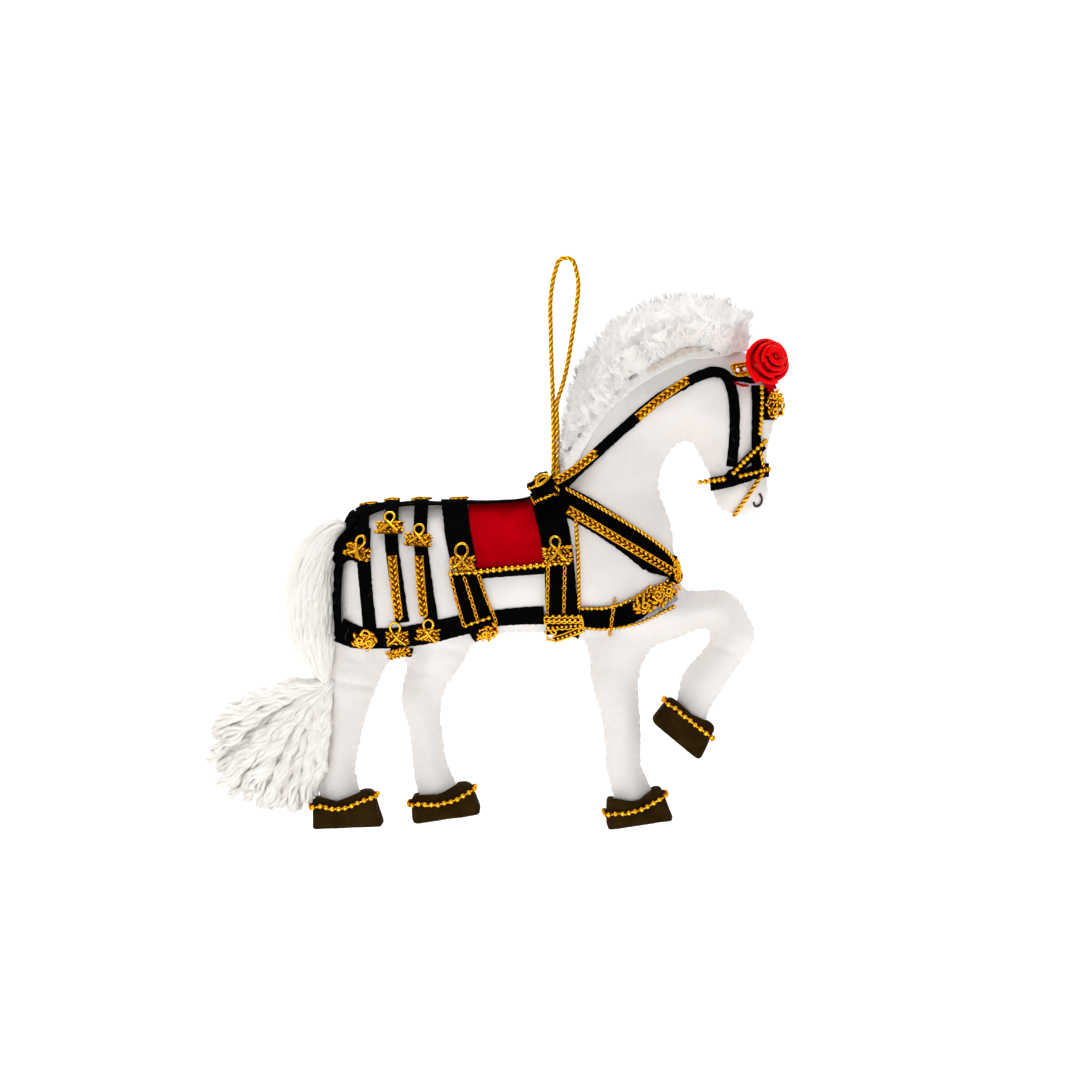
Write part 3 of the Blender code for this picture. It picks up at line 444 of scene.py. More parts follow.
# Nylon velvet ribbon, dyed black: it gives back almost nothing but a faint edge glow
VELVET = Pile("black_velvet", "#030303", "#070605", 0.95, 0.2 * MM, 0.06 * MM, 5 * MM, sheen=0.003, specular=0.01)
# Wool felt, dyed dark olive brown
FELT = Pile("dark_felt", "#36260E", "#150D03", 0.95, 0.22 * MM, 0.08 * MM, 4 * MM, sheen=0.006, specular=0.01)
# Woven backing of the plush, and its short undercoat
PLUSH_TAPE = Pile("plush_backing", "#EFE6D8", "#CDBFA8", 0.95, 0.25 * MM, 0.09 * MM, 1.5 * MM, specular=0.1)
PLUSH_BASE = Pile("plush_undercoat", "#FFFDFB", "#F6F0EA", 0.95, 0.5 * MM, 0.15 * MM, 3 * MM, specular=0.05)
# Household lint
LINT = Fibre("pale_lint", "#8D8781", "#45413D", 0.8, relief=0.01 * MM)
# Polyester ribbon, woven with fine ribs
RED_RIBBON = Weave("red_ribbon", "#B6000E", "#A3000B", 0.9, 0.2 * MM, 0.03 * MM, 5 * MM, specular=0.0)
# Cast polyester resin, dyed through, with a hand rubbed gloss and painted shade in its folds
RED_RESIN = ShadedResin("red_resin", "#EE0005", "#7A0002", 0.3, specular=0.03, coat=0.06)
# Brass foil and metal thread with yellow lacquer, its colour running from painted shade in the hollows to painted
# highlights on the crests
GILT = Gilt("gilt_trim", "#F5A50C", "#552803", 0.17, 0.3 * MM, 0.05 * MM, 0.45 * MM, metallic=1.0)
# Gold coloured metallic cord: the same foil, wound finer, with the same painted shade and highlights
GOLD_CORD = Gilt("gold_cord", "#EFA410", "#552803", 0.2, 0.3 * MM, 0.03 * MM, 0.5 * MM, metallic=1.0)
# Glass beads with a pearl lustre
PEARL = Finish("pearl_bead", "#FFF9EE", "#EFE3D2", 0.15, 0.5 * MM, 0.01 * MM, 1 * MM, coat=0.6)
# Dark brown sewing thread of the nostril
BROWN_THREAD = Fibre("brown_thread", "#33231C", "#160E0A", 0.75, relief=0.01 * MM)
# Scraps of clear film under the ornament and hardened drops of glue
FILM = Clear("clear_film", "#E4E4E4", "#C4C4C6", 0.12, 0.6 * MM, 0.05 * MM, 2 * MM)
# Painted studio sweep
SWEEP = Finish("studio_sweep", "#FBFBFB", "#F8F8F8", 0.9, 40 * MM, 0.01 * MM, 900 * MM, specular=0.1)


def smooth_line(points: object, step: float, closed: bool = False) -> np.ndarray:
    """A smooth curve through the points, sampled evenly.

    Args:
        points: Rows of numbers, of which up to three are a place and the rest go with it.
        step: Distance between samples.
        closed: Whether the line returns to its start.

    Returns:
        The samples, without the start repeated at the end of a closed line.
    """
    given = np.array(points, float)
    count = len(given)
    fine = []
    for i in range(count if closed else count - 1):
        picks = [(i + k) % count if closed else min(max(i + k, 0), count - 1) for k in (-1, 0, 1, 2)]
        a, b, c, d = given[picks]
        t = np.linspace(0, 1, 10, endpoint=False)[:, None]
        cubic = (-a + 3 * b - 3 * c + d) * t**3
        fine.append(0.5 * (2 * b + (c - a) * t + (2 * a - 5 * b + 4 * c - d) * t**2 + cubic))
    fine = np.vstack([*fine, given[:1] if closed else given[-1:]])
    along = lengths_along(fine[:, :3])
    steps = max(2, round(along[-1] / step))
    at = np.linspace(0, along[-1], steps + 1)
    line = np.stack([np.interp(at, along, fine[:, k]) for k in range(fine.shape[1])], axis=1)
    return line[:-1] if closed else line


def seam_line(places: tuple[Place, ...], step: float) -> np.ndarray:
    """A smooth line in the seam plane through places in millimetres."""
    return smooth_line([(x * MM, 0, z * MM) for x, z in places], step)


def carried_frames(line: np.ndarray) -> tuple[np.ndarray, np.ndarray]:
    """Two directions across a line in space that turn as little as they can along it."""
    ahead = unit_rows(np.gradient(line, axis=0))
    first = np.cross(ahead[0], (0.0, 1.0, 0.0))
    if np.linalg.norm(first) < 0.2:
        first = np.cross(ahead[0], (1.0, 0.0, 0.0))
    across = [first / np.linalg.norm(first)]
    for way in ahead[1:]:
        kept = across[-1] - way * (across[-1] @ way)
        across.append(kept / np.linalg.norm(kept))
    across = np.array(across)
    return across, np.cross(ahead, across)


def ring_profile(count: int) -> np.ndarray:
    """A round section."""
    turn = np.arange(count) * 2 * math.pi / count
    return np.stack([np.cos(turn), np.sin(turn)], axis=1)


def lobed_profile(lobes: int, depth: float, per_lobe: int) -> np.ndarray:
    """The section of a cord that is laid up of several strands."""
    turn = np.arange(lobes * per_lobe) * 2 * math.pi / (lobes * per_lobe)
    radius = 1 - depth + depth * np.abs(np.cos(lobes * turn / 2)) ** 0.7
    return np.stack([radius * np.cos(turn), radius * np.sin(turn)], axis=1)


@dataclass
class Shape:
    """The points and faces of a small form that is copied many times."""

    points: np.ndarray
    faces: dict[int, np.ndarray]
    # How far each point stands out of the hollows: the gilt and fibre finishes paint shade low and highlights high by
    # it
    relief: np.ndarray


class Template:
    """Small forms, each modelled once."""

    @staticmethod
    def taken(obj: bpy.types.Object, relief: Callable | None = None) -> Shape:
        """Keep the form of an object and remove the object."""
        points = corners_of(obj)
        groups: dict[int, list] = {}
        for face in obj.data.polygons:
            groups.setdefault(len(face.vertices), []).append(list(face.vertices))
        faces = {size: np.array(rows) for size, rows in groups.items()}
        heights = np.ones(len(points)) if relief is None else relief(points)
        data = obj.data
        bpy.data.objects.remove(obj)
        bpy.data.meshes.remove(data)
        return Shape(points, faces, heights)

    @staticmethod
    def bead() -> Shape:
        """A bead of a ball chain, of radius one, with a collar at each end of its hole along X."""
        deselect()
        bpy.ops.mesh.primitive_uv_sphere_add(segments=10, ring_count=7, radius=1)
        obj = bpy.context.object
        obj.data.transform(Matrix.Rotation(math.pi / 2, 4, "Y"))
        points = corners_of(obj)
        tips = np.abs(points[:, 0]) > 0.95
        points[tips, 0] *= 0.86
        move_corners(obj, points)
        # Relief highest on the outward face: a painted highlight there and painted shade round the rim and ends
        return Template.taken(obj, lambda p: np.clip(0.12 + 1.0 * p[:, 2] - 0.4 * np.abs(p[:, 0]) ** 3, 0, 1))

    @staticmethod
    def grain() -> Shape:
        """A pointed grain of a plait, one long along X."""
        deselect()
        bpy.ops.mesh.primitive_uv_sphere_add(segments=8, ring_count=7, radius=0.5)
        obj = bpy.context.object
        obj.data.transform(Matrix.Rotation(math.pi / 2, 4, "Y"))
        points = corners_of(obj)
        share = points[:, 0] + 0.5
        points[:, 1:] *= (0.9 - 0.45 * share**2)[:, None]
        move_corners(obj, points)
        # Relief rises towards the outward face: a painted highlight on top and painted shade beneath
        return Template.taken(obj, lambda p: np.clip(0.08 + 2.2 * p[:, 2], 0, 1))

    @staticmethod
    def link() -> Shape:
        """An open link of a chain, one long along X and flat in XY."""
        deselect()
        bpy.ops.mesh.primitive_torus_add(major_radius=0.36, minor_radius=0.13, major_segments=10, minor_segments=5)
        obj = bpy.context.object
        obj.data.transform(Matrix.Diagonal((1.35, 0.95, 1, 1)))
        # Relief rises towards the outward face: a painted highlight on top and painted shade beneath
        return Template.taken(obj, lambda p: np.clip(0.3 + 5.0 * p[:, 2], 0, 1))

    @staticmethod
    def hair() -> Shape:
        """A tapering hair, one long along X, three sided."""
        deselect()
        bpy.ops.mesh.primitive_cone_add(vertices=3, radius1=1, radius2=0, depth=1)
        obj = bpy.context.object
        obj.data.transform(Matrix.Translation((0, 0, 0.5)))
        for height in (0.34, 0.68):
            edit(obj, bpy.ops.mesh.bisect, plane_co=(0, 0, height), plane_no=(0, 0, 1))
        points = corners_of(obj)
        swell = np.interp(points[:, 2], [0, 0.34, 0.68, 1], [1.0, 1.4, 2.2, 1.0])
        points[:, :2] *= swell[:, None]
        move_corners(obj, points[:, [2, 0, 1]])
        merge_doubles(obj)
        # Relief rises from root to tip, so the fibre finish paints shade at the roots, deep in the pile
        return Template.taken(obj, lambda p: np.clip(0.15 + 1.2 * p[:, 0], 0, 1))


class Gathering:
    """Many small forms on their way to one mesh."""

    def __init__(self) -> None:
        """Start empty."""
        self.points: list[np.ndarray] = []
        self.faces: dict[int, list[np.ndarray]] = {}
        self.relief: list[np.ndarray] = []
        self.tone: list[np.ndarray] = []
        self.along: list[np.ndarray] = []
        self.count = 0

    def add(self, points: np.ndarray, faces: dict[int, np.ndarray], relief: np.ndarray | float = 1.0,
            tone: np.ndarray | float = 0.0, along: np.ndarray | None = None) -> None:
        """Take in one form.

        Args:
            points: Its vertices.
            faces: Its faces, by their number of corners.
            relief: How far each vertex stands out of the hollows, from 0 to 1, which sets painted shade and painted
                highlights.
            tone: The form's own tone, from 0 to 1.
            along: Two numbers a vertex for the UV map, if a pattern follows the form.
        """
        for size, rows in faces.items():
            self.faces.setdefault(size, []).append(rows + self.count)
        self.points.append(points)
        self.relief.append(np.broadcast_to(np.asarray(relief, float), (len(points),)))
        self.tone.append(np.broadcast_to(np.asarray(tone, float), (len(points),)))
        self.along.append(points[:, [0, 2]] if along is None else along)
        self.count += len(points)

    def copies(self, shape: Shape, places: np.ndarray, frames: np.ndarray, sizes: np.ndarray,
               tone: np.ndarray | float = 0.0) -> None:
        """Take in copies of a shape.

        Args:
            shape: The form.
            places: Where each copy's origin goes.
            frames: For each copy, the directions of its X, Y and Z as rows.
            sizes: For each copy, its size along its X, Y and Z.
            tone: Each copy's own tone.
        """
        count = len(places)
        sizes = np.broadcast_to(np.asarray(sizes, float), (count, 3))
        local = shape.points[None] * sizes[:, None]
        placed = np.einsum("cpi,cij->cpj", local, frames) + places[:, None]
        step = len(shape.points)
        faces = {size: (rows[None] + (np.arange(count) * step)[:, None, None]).reshape(-1, size)
                 for size, rows in shape.faces.items()}
        tones = np.repeat(np.broadcast_to(np.asarray(tone, float), (count,)), step)
        self.add(placed.reshape(-1, 3), faces, np.tile(shape.relief, count), tones)

    def sweep(self, line: np.ndarray, profile: np.ndarray, radius: np.ndarray | float,
              frames: tuple[np.ndarray, np.ndarray] | None = None, turns: np.ndarray | float = 0.0,
              tone: float = 0.0, hollow: float = 0.0) -> None:
        """Take in a section drawn along a line.

        Args:
            line: The middle of the form.
            profile: The section, about one across.
            radius: The section's size at each point.
            frames: Two directions across the line, or none for such that turn little.
            turns: The section's turn at each point, in radians.
            tone: The form's own tone.
            hollow: The section's distance from the middle that counts as the bottom of a hollow, where painted shade
                is darkest.
        """
        across, normal = frames or carried_frames(line)
        count, sides = len(line), len(profile)
        radius = np.broadcast_to(np.asarray(radius, float), (count,))
        angle = np.broadcast_to(np.asarray(turns, float), (count,))
        cos, sin = np.cos(angle)[:, None], np.sin(angle)[:, None]
        u = profile[None, :, 0] * cos - profile[None, :, 1] * sin
        v = profile[None, :, 0] * sin + profile[None, :, 1] * cos
        ring = u[..., None] * across[:, None] + v[..., None] * normal[:, None]
        rings = line[:, None] + radius[:, None, None] * ring
        i, j = np.meshgrid(np.arange(count - 1), np.arange(sides), indexing="ij")
        after, beside = i + 1, (j + 1) % sides
        quads = np.stack([i * sides + j, i * sides + beside, after * sides + beside, after * sides + j], axis=-1)
        faces = {4: quads.reshape(-1, 4)}
        caps = np.stack([np.arange(sides)[::-1], (count - 1) * sides + np.arange(sides)])
        faces[sides] = np.vstack([faces[sides], caps]) if sides in faces else caps
        # Relief by distance from the middle: the finishes paint shade in the grooves of a laid cord and highlights on
        # its strands
        far = np.linalg.norm(profile, axis=1)
        bottom = hollow or far.min() * 0.98
        height = np.full(sides, 0.8)
        if far.max() > far.min() * 1.02:
            height = np.clip((far - bottom) / max(far.max() - bottom, 1e-9), 0, 1)
        lengths = lengths_along(line)
        along = np.stack([np.tile(np.arange(sides) / sides, count), np.repeat(lengths / MM, sides)], axis=1)
        self.add(rings.reshape(-1, 3), faces, np.tile(height, count), tone, along)

    def piece(self, name: str, finish: Finish, slot: str | None = None, nodes: tuple[str, ...] = (),
              facing: np.ndarray | None = None) -> bpy.types.Object:
        """Make the mesh of all that was taken in.

        Args:
            name: The piece's name.
            finish: Its finish.
            slot: The record's material slot, if it has one; not used.
            nodes: The CAD nodes that the piece stands for.
            facing: The way that each vertex is lit from, where that isn't its own normal.

        Returns:
            The piece, riding on the horse.
        """
        mesh = bpy.data.meshes.new(name)
        sizes, loops = [], []
        for size, groups in self.faces.items():
            rows = np.vstack(groups)
            sizes.append(np.full(len(rows), size))
            loops.append(rows.ravel())
        sizes, loops = np.concatenate(sizes), np.concatenate(loops)
        points = np.vstack(self.points)
        mesh.vertices.add(len(points))
        mesh.vertices.foreach_set("co", points.ravel())
        mesh.loops.add(len(loops))
        mesh.loops.foreach_set("vertex_index", loops.astype(np.int32))
        mesh.polygons.add(len(sizes))
        mesh.polygons.foreach_set("loop_start", np.concatenate([[0], np.cumsum(sizes)[:-1]]).astype(np.int32))
        mesh.update(calc_edges=True)
        mesh.validate()
        # relief carries painted shade and highlights; tone is each form's own random tone
        for layer, values in (("relief", self.relief), ("tone", self.tone)):
            attribute = mesh.attributes.new(layer, "FLOAT", "POINT")
            attribute.data.foreach_set("value", np.concatenate(values).astype(np.float32))
        uv = mesh.uv_layers.new(name="UVMap")
        picked = np.zeros(len(mesh.loops), np.int32)
        mesh.loops.foreach_get("vertex_index", picked)
        uv.data.foreach_set("uv", np.vstack(self.along)[picked].astype(np.float32).ravel())
        mesh.shade_smooth()
        if facing is not None:
            mesh.normals_split_custom_set_from_vertices(facing.astype(np.float32))
        obj = bpy.data.objects.new(name, mesh)
        bpy.context.scene.collection.objects.link(obj)
        return dressed(obj, finish, nodes)


def dressed(obj: bpy.types.Object, finish: Finish, nodes: tuple[str, ...] = ()
            ) -> bpy.types.Object:
    """Give a piece its finish and its place on the horse, and hide the nodes it stands for."""
    obj.data.materials.clear()
    obj.data.materials.append(finish.material())
    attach(obj, "root")
    if nodes:
        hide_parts(*nodes)
    LOG.info("%s: %d faces", obj.name, len(obj.data.polygons))
    return obj


def side(points: list[Place], width: float = 1.0) -> list[Control]:
    """Controls of a strip on the shown side: place, tilt, edge direction and width."""
    return [(x, z, 0, 0, width) for x, z in points]


def leaning(points: list[Place], tilt: float, out: float, width: float = 1.0) -> list[Control]:
    """Controls of a strip whose face turns from the viewer towards an edge, by angles in degrees."""
    return [(x, z, tilt, out, width) for x, z in points]


def fold(place: Place, out: float, width: float = 1.0, tilts: tuple = (0, 60, 120, 180)) -> list[Control]:
    """Controls of a strip that folds over the edge near this place."""
    return [(*place, tilt, out, width) for tilt in tilts]


def over(points: list[Place], out: float) -> list[Control]:
    """Controls of a strip up the shown side, over the edge at the last point and down the far side."""
    near = [(x, z, 0, out, 1.0) for x, z in points]
    far = [(x, z, 180, out, w) for x, z, _, _, w in reversed(near)]
    return near[:-1] + fold(points[-1], out) + far[1:]


def around(points: list[Place], out_first: float, out_last: float) -> list[Control]:
    """Controls of a closed band: along the shown side, and back along the far side."""
    near = [(x, z, 0, out_last if i else out_first, 1.0) for i, (x, z) in enumerate(points)]
    far = [(x, z, 180, out, w) for x, z, _, out, w in reversed(near)]
    ends = fold(points[-1], out_last, tilts=(60, 120)), fold(points[0], out_first, tilts=(120, 60))
    return near + ends[0] + far + ends[1]


def mirrored(controls: list[Control]) -> list[Control]:
    """The same strip on the far side."""
    return [(x, z, 180 - tilt, out, w) for x, z, tilt, out, w in controls]


BOTH_SIDES = (("near", list), ("far", mirrored))


@dataclass
class Track:
    """A strip's or cord's way over the horse: points with a facing and a way across at each."""

    points: np.ndarray
    facing: np.ndarray
    across: np.ndarray
    closed: bool = False

    @property
    def length(self) -> float:
        """How long it is."""
        line = np.vstack([self.points, self.points[:1]]) if self.closed else self.points
        return float(np.linalg.norm(np.diff(line, axis=0), axis=1).sum())

    def at(self, distances: np.ndarray) -> "Track":
        """The places at these distances along it."""
        parts = [self.points, self.facing, self.across]
        if self.closed:
            parts = [np.vstack([p, p[:1]]) for p in parts]
        along = lengths_along(parts[0])
        got = [np.stack([np.interp(distances, along, p[:, k]) for k in range(3)], axis=1) for p in parts]
        return Track(got[0], unit_rows(got[1]), unit_rows(got[2]), self.closed)

    def spaced(self, pitch: float, margin: float = 0.0) -> "Track":
        """Places at an even pitch, as near to the given one as fits the length."""
        room = self.length - 2 * margin
        count = max(1, round(room / pitch))
        if self.closed:
            return self.at((np.arange(count) + 0.5) * self.length / count)
        return self.at(margin + np.linspace(0, room, count + 1))

    def shifted(self, sideways: float, outwards: float = 0.0) -> "Track":
        """The same way moved across itself and off the surface."""
        points = self.points + sideways * self.across + outwards * self.facing
        return Track(points, self.facing, self.across, self.closed)

    @property
    def ahead(self) -> np.ndarray:
        """The direction of travel at each point."""
        if self.closed:
            return unit_rows(np.roll(self.points, -1, axis=0) - np.roll(self.points, 1, axis=0))
        return unit_rows(np.gradient(self.points, axis=0)) if len(self.points) > 1 else \
            np.cross(self.across, self.facing)

    @property
    def frames(self) -> np.ndarray:
        """For each point, the direction of travel, the way across and the outward way, as rows."""
        ahead = self.ahead
        across = unit_rows(np.cross(self.facing, ahead))
        return np.stack([ahead, across, np.cross(ahead, across)], axis=1)


class Dressing:
    """The horse as it is dressed so far, for the next piece to lie on."""

    def __init__(self, unit: float) -> None:
        """Start with nothing laid.

        Args:
            unit: A 118th of the height of the horse's skin, in metres.
        """
        self.unit = unit
        self.wrap = WRAP_UNITS * unit
        self.reach = REACH_UNITS * unit
        self.layers: list[tuple[BVHTree, np.ndarray, np.ndarray]] = []

    def add(self, *pieces: bpy.types.Object) -> None:
        """Take in pieces that were laid."""
        bpy.context.view_layer.update()
        graph = bpy.context.evaluated_depsgraph_get()
        for obj in pieces:
            points = corners_of(obj)
            self.layers.append((BVHTree.FromObject(obj, graph), points.min(axis=0), points.max(axis=0)))

    def height(self, anchor: np.ndarray, facing: np.ndarray, reach: float) -> float:
        """How far the outermost skin is from the anchor, along the way that a piece faces."""
        way, foot = Vector(facing), Vector(anchor)
        start = foot + way * reach
        low = np.minimum(anchor, start)
        high = np.maximum(anchor, start)
        best = 0.0
        for tree, least, most in self.layers:
            if (high < least).any() or (low > most).any():
                continue
            at = start
            while True:
                place, normal, _, _ = tree.ray_cast(at, -way, reach)
                if place is None:
                    break
                if normal.dot(way) > 0:
                    best = max(best, (place - foot).dot(way))
                    break
                at = place - way * TINY
        return best

    def heights(self, anchors: np.ndarray, facing: np.ndarray, reach: float) -> np.ndarray:
        """The heights at a whole array of anchors."""
        flat = [self.height(a, f, reach) for a, f in zip(anchors.reshape(-1, 3), facing.reshape(-1, 3))]
        return np.array(flat).reshape(anchors.shape[:-1])

    def stations(self, controls: list[Control], step: float, closed: bool
                 ) -> tuple[np.ndarray, np.ndarray, np.ndarray, np.ndarray]:
        """Anchors in the seam plane, facings, ways across and widths along a strip."""
        given = np.array(controls, float)
        route = np.column_stack([given[:, :2] * self.unit, np.radians(given[:, 2]) * self.wrap, given[:, 3:]])
        line = smooth_line(route, step, closed)
        tilt, out = line[:, 2] / self.wrap, np.radians(line[:, 3])
        anchors = np.stack([line[:, 0], 0 * tilt, line[:, 1]], axis=1)
        facing = np.stack([np.sin(tilt) * np.cos(out), -np.cos(tilt), np.sin(tilt) * np.sin(out)], axis=1)
        path = anchors + self.wrap * facing
        ahead = np.roll(path, -1, axis=0) - np.roll(path, 1, axis=0) if closed else np.gradient(path, axis=0)
        return anchors, facing, unit_rows(np.cross(facing, ahead)), line[:, 4]

    def net(self, controls: list[Control], width: float, cell: float, closed: bool = False, gap: float = 0.06 * MM,
            reach: float | None = None, slack: float = 0.0) -> tuple[np.ndarray, np.ndarray, np.ndarray]:
        """Lay a strip over everything, pulled taut along its length.

        Args:
            controls: The strip's controls.
            width: Its width.
            cell: The size of a cell of the net.
            closed: Whether it is a closed band.
            gap: The air left beneath it.
            reach: How far out it is lowered from.
            slack: How much it sinks between what it rests on, from 0, taut, to 1.

        Returns:
            The net's places, facings and ways across, as rows of columns.
        """
        reach = reach or self.reach
        anchors, facing, across, widths = self.stations(controls, cell, closed)
        columns = max(2, round(width / cell))
        shares = np.linspace(-0.5, 0.5, columns + 1)
        anchor = anchors[:, None] + across[:, None] * (widths[:, None] * shares)[..., None] * width
        ways = np.repeat(facing[:, None], columns + 1, axis=1)
        floor = self.heights(anchor, ways, reach) + gap
        height = floor.copy()
        for _ in range(TAUT_ROUNDS):
            place = anchor + ways * height[..., None]
            if closed:
                middle = (np.roll(place, 1, axis=0) + np.roll(place, -1, axis=0)) / 2
            else:
                middle = place.copy()
                middle[1:-1] = (place[:-2] + place[2:]) / 2
            level = ((middle - anchor) * ways).sum(axis=2)
            beside = np.pad(level, ((0, 0), (1, 1)), mode="edge")
            level = 0.5 * level + 0.25 * (beside[:, :-2] + beside[:, 2:])
            height = np.maximum(floor, level)
        height = np.maximum(floor, (1 - slack) * height + slack * (0.5 * height + 0.5 * floor))
        return anchor + ways * height[..., None], ways, np.repeat(across[:, None], columns + 1, axis=1)

    def track(self, controls: list[Control], step: float = 0.5 * MM, closed: bool = False, lift: float = 0.0,
              reach: float | None = None, width: float = 0.8 * MM) -> Track:
        """Lay a cord over everything, its middle this far off what it rests on."""
        places, ways, across = self.net(controls, width, step, closed, lift, reach)
        middle = places.shape[1] // 2
        return Track(places[:, middle], ways[:, middle], across[:, middle], closed)

    def plate(self, place: Place, tilt: float, out: float, length: float, height: float
              ) -> tuple[np.ndarray, np.ndarray]:
        """Where a stiff plate comes to lie.

        Args:
            place: Its middle, in units.
            tilt: How far its face turns from the viewer towards the edge, in degrees.
            out: The direction of that edge, in degrees.
            length: Its length.
            height: Its height.

        Returns:
            The middle of its underside, and its directions along, up and outwards as rows.
        """
        facing = facing_way(tilt, out)
        right = np.cross(facing, (0.0, 0.0, -1.0))
        right /= np.linalg.norm(right)
        if right[0] < 0:
            right = -right
        up = np.array([0.0, 0.0, 1.0]) - facing * facing[2]
        up /= np.linalg.norm(up)
        anchor = np.array([place[0] * self.unit, 0.0, place[1] * self.unit])
        spots, lifts = [], []
        for u in np.linspace(-length / 2, length / 2, 7):
            for v in np.linspace(-height / 2, height / 2, 5):
                spots.append((1.0, u, v))
                lifts.append(self.height(anchor + u * right + v * up, facing, self.reach))
        _, slope_u, slope_v = np.linalg.lstsq(np.array(spots), np.array(lifts), rcond=None)[0]
        slope_u, slope_v = np.clip((slope_u, slope_v), -STEEPEST, STEEPEST)
        # It rests on the third highest spot, as it presses into the two that stand out furthest
        level = sorted(lift - slope_u * u - slope_v * v for (_, u, v), lift in zip(spots, lifts))[-3]
        along = right + slope_u * facing
        along /= np.linalg.norm(along)
        rise = up + slope_v * facing
        normal = np.cross(rise, along)
        normal *= np.sign(normal @ facing) / np.linalg.norm(normal)
        return anchor + facing * level, np.stack([along, np.cross(along, -normal), normal])


@dataclass
class StuffedSkin:
    """The body: two layers of velveteen, whip-stitched round the outline and stuffed.

    The seam is sampled every tenth of a millimetre, given by sample in millimetres.
    """

    node: str = "horse_body"
    sample: float = 0.1
    voxel: float = 0.62 * MM
    stitch_pitch: float = 2.1 * MM
    stitch_reach: float = 1.25 * MM
    thread: float = 0.1 * MM
    seam_band: float = 1.5 * MM
    pucker: float = 0.1 * MM
    groove: float = 0.25 * MM
    wrinkles: float = 0.18 * MM
    lumps: float = 0.22 * MM
    seam: np.ndarray = field(default_factory=lambda: np.zeros((0, 3)))

    def find_seam(self, obj: bpy.types.Object) -> None:
        """Follow the edge where the two layers meet."""
        points = corners_of(obj)
        flat = {i for i in range(len(points)) if abs(points[i, 1]) < TINY}
        near: dict[int, list[int]] = {}
        for edge in obj.data.edges:
            a, b = edge.vertices
            if a in flat and b in flat:
                near.setdefault(a, []).append(b)
                near.setdefault(b, []).append(a)
        start = min(near)
        order, last = [start], -1
        while True:
            ways = [n for n in near[order[-1]] if n != last and (n == start or n not in order[-3:])]
            last = order[-1]
            if not ways or ways[0] == start and len(order) > 2:
                break
            order.append(ways[0])
        self.seam = smooth_line(points[order], self.sample * MM, closed=True)

    @staticmethod
    def keep_seam(obj: bpy.types.Object) -> None:
        """Crease the edges in the seam plane, so that smoothing leaves the outline where it is."""
        flat = np.abs(corners_of(obj)[:, 1]) < TINY
        ends = np.zeros(len(obj.data.edges) * 2, np.int32)
        obj.data.edges.foreach_get("vertices", ends)
        ends = ends.reshape(-1, 2)
        crease = obj.data.attributes.new("crease_edge", "FLOAT", "EDGE")
        crease.data.foreach_set("value", (flat[ends[:, 0]] & flat[ends[:, 1]]).astype(np.float32))

    def skin(self, frame: dict) -> bpy.types.Object:
        """The stuffed skin, drawn in at every stitch."""
        obj = merged_copy(frame["nodes"][self.node], "skin")
        self.find_seam(obj)
        self.keep_seam(obj)
        work(obj, "SUBSURF", levels=2, render_levels=2, subdivision_type="CATMULL_CLARK")
        form = bpy.data.objects.new("form", obj.data.copy())
        bpy.context.scene.collection.objects.link(form)
        work(obj, "REMESH", mode="VOXEL", voxel_size=self.voxel)
        work(obj, "SMOOTH", factor=0.5, iterations=4)
        work(obj, "SHRINKWRAP", target=form, wrap_method="NEAREST_SURFACEPOINT", wrap_mode="ON_SURFACE")
        work(obj, "SMOOTH", factor=0.5, iterations=2)
        bpy.data.objects.remove(form)
        points, normals = corners_of(obj), normals_of(obj)
        tree = finder(self.seam)
        found = [tree.find(p) for p in points]
        beside = np.array([f[1] for f in found]) * self.sample * MM
        away = np.array([f[2] for f in found])
        phase = 2 * math.pi * beside / self.stitch_pitch
        drawn = -np.cos(phase) * hump(away, self.seam_band) * self.pucker
        groove = -self.groove * hump(away, 0.7 * MM, self.seam_band)
        lumps = np.array([noise.noise(Vector(p) / (9 * MM)) + 0.45 * noise.noise(Vector(p) / (3.5 * MM))
                          for p in points]) * self.lumps
        folds = np.array([noise.noise(Vector((b / (2.6 * MM), a / (7 * MM), 0.0))) for b, a in zip(beside, away)])
        folds *= self.wrinkles * hump(away, 4 * MM)
        crease = self.crease(points)
        move_corners(obj, points + normals * (drawn + 0.6 * groove + lumps + folds + crease)[:, None])
        obj.data.shade_smooth()
        return dressed(obj, VELVETEEN, (self.node,))

    def crease(self, points: np.ndarray) -> np.ndarray:
        """Depths of the folds where the skin bends behind the knee and at the elbow."""
        folds = (((-60.5, -104.5), (-45.5, -107.5), 0.35), ((34.5, -95.5), (44.0, -99.0), 0.3),
                 ((-31.0, -96.5), (-25.0, -98.5), 0.2), ((23.5, -58.0), (29.5, -57.0), 0.18))
        depth = np.zeros(len(points))
        for start, end, size in folds:
            a, b = np.array(start) * MM, np.array(end) * MM
            run = b - a
            share = np.clip(((points[:, [0, 2]] - a) @ run) / (run @ run), 0, 1)
            away = np.linalg.norm(points[:, [0, 2]] - a - share[:, None] * run, axis=1)
            fade = np.sin(math.pi * np.clip(share * 0.96 + 0.02, 0, 1)) ** 0.5
            depth += size * MM * fade * (-hump(away, 0.8 * MM) + 0.5 * hump(away, 1.0 * MM, 1.9 * MM))
        return depth

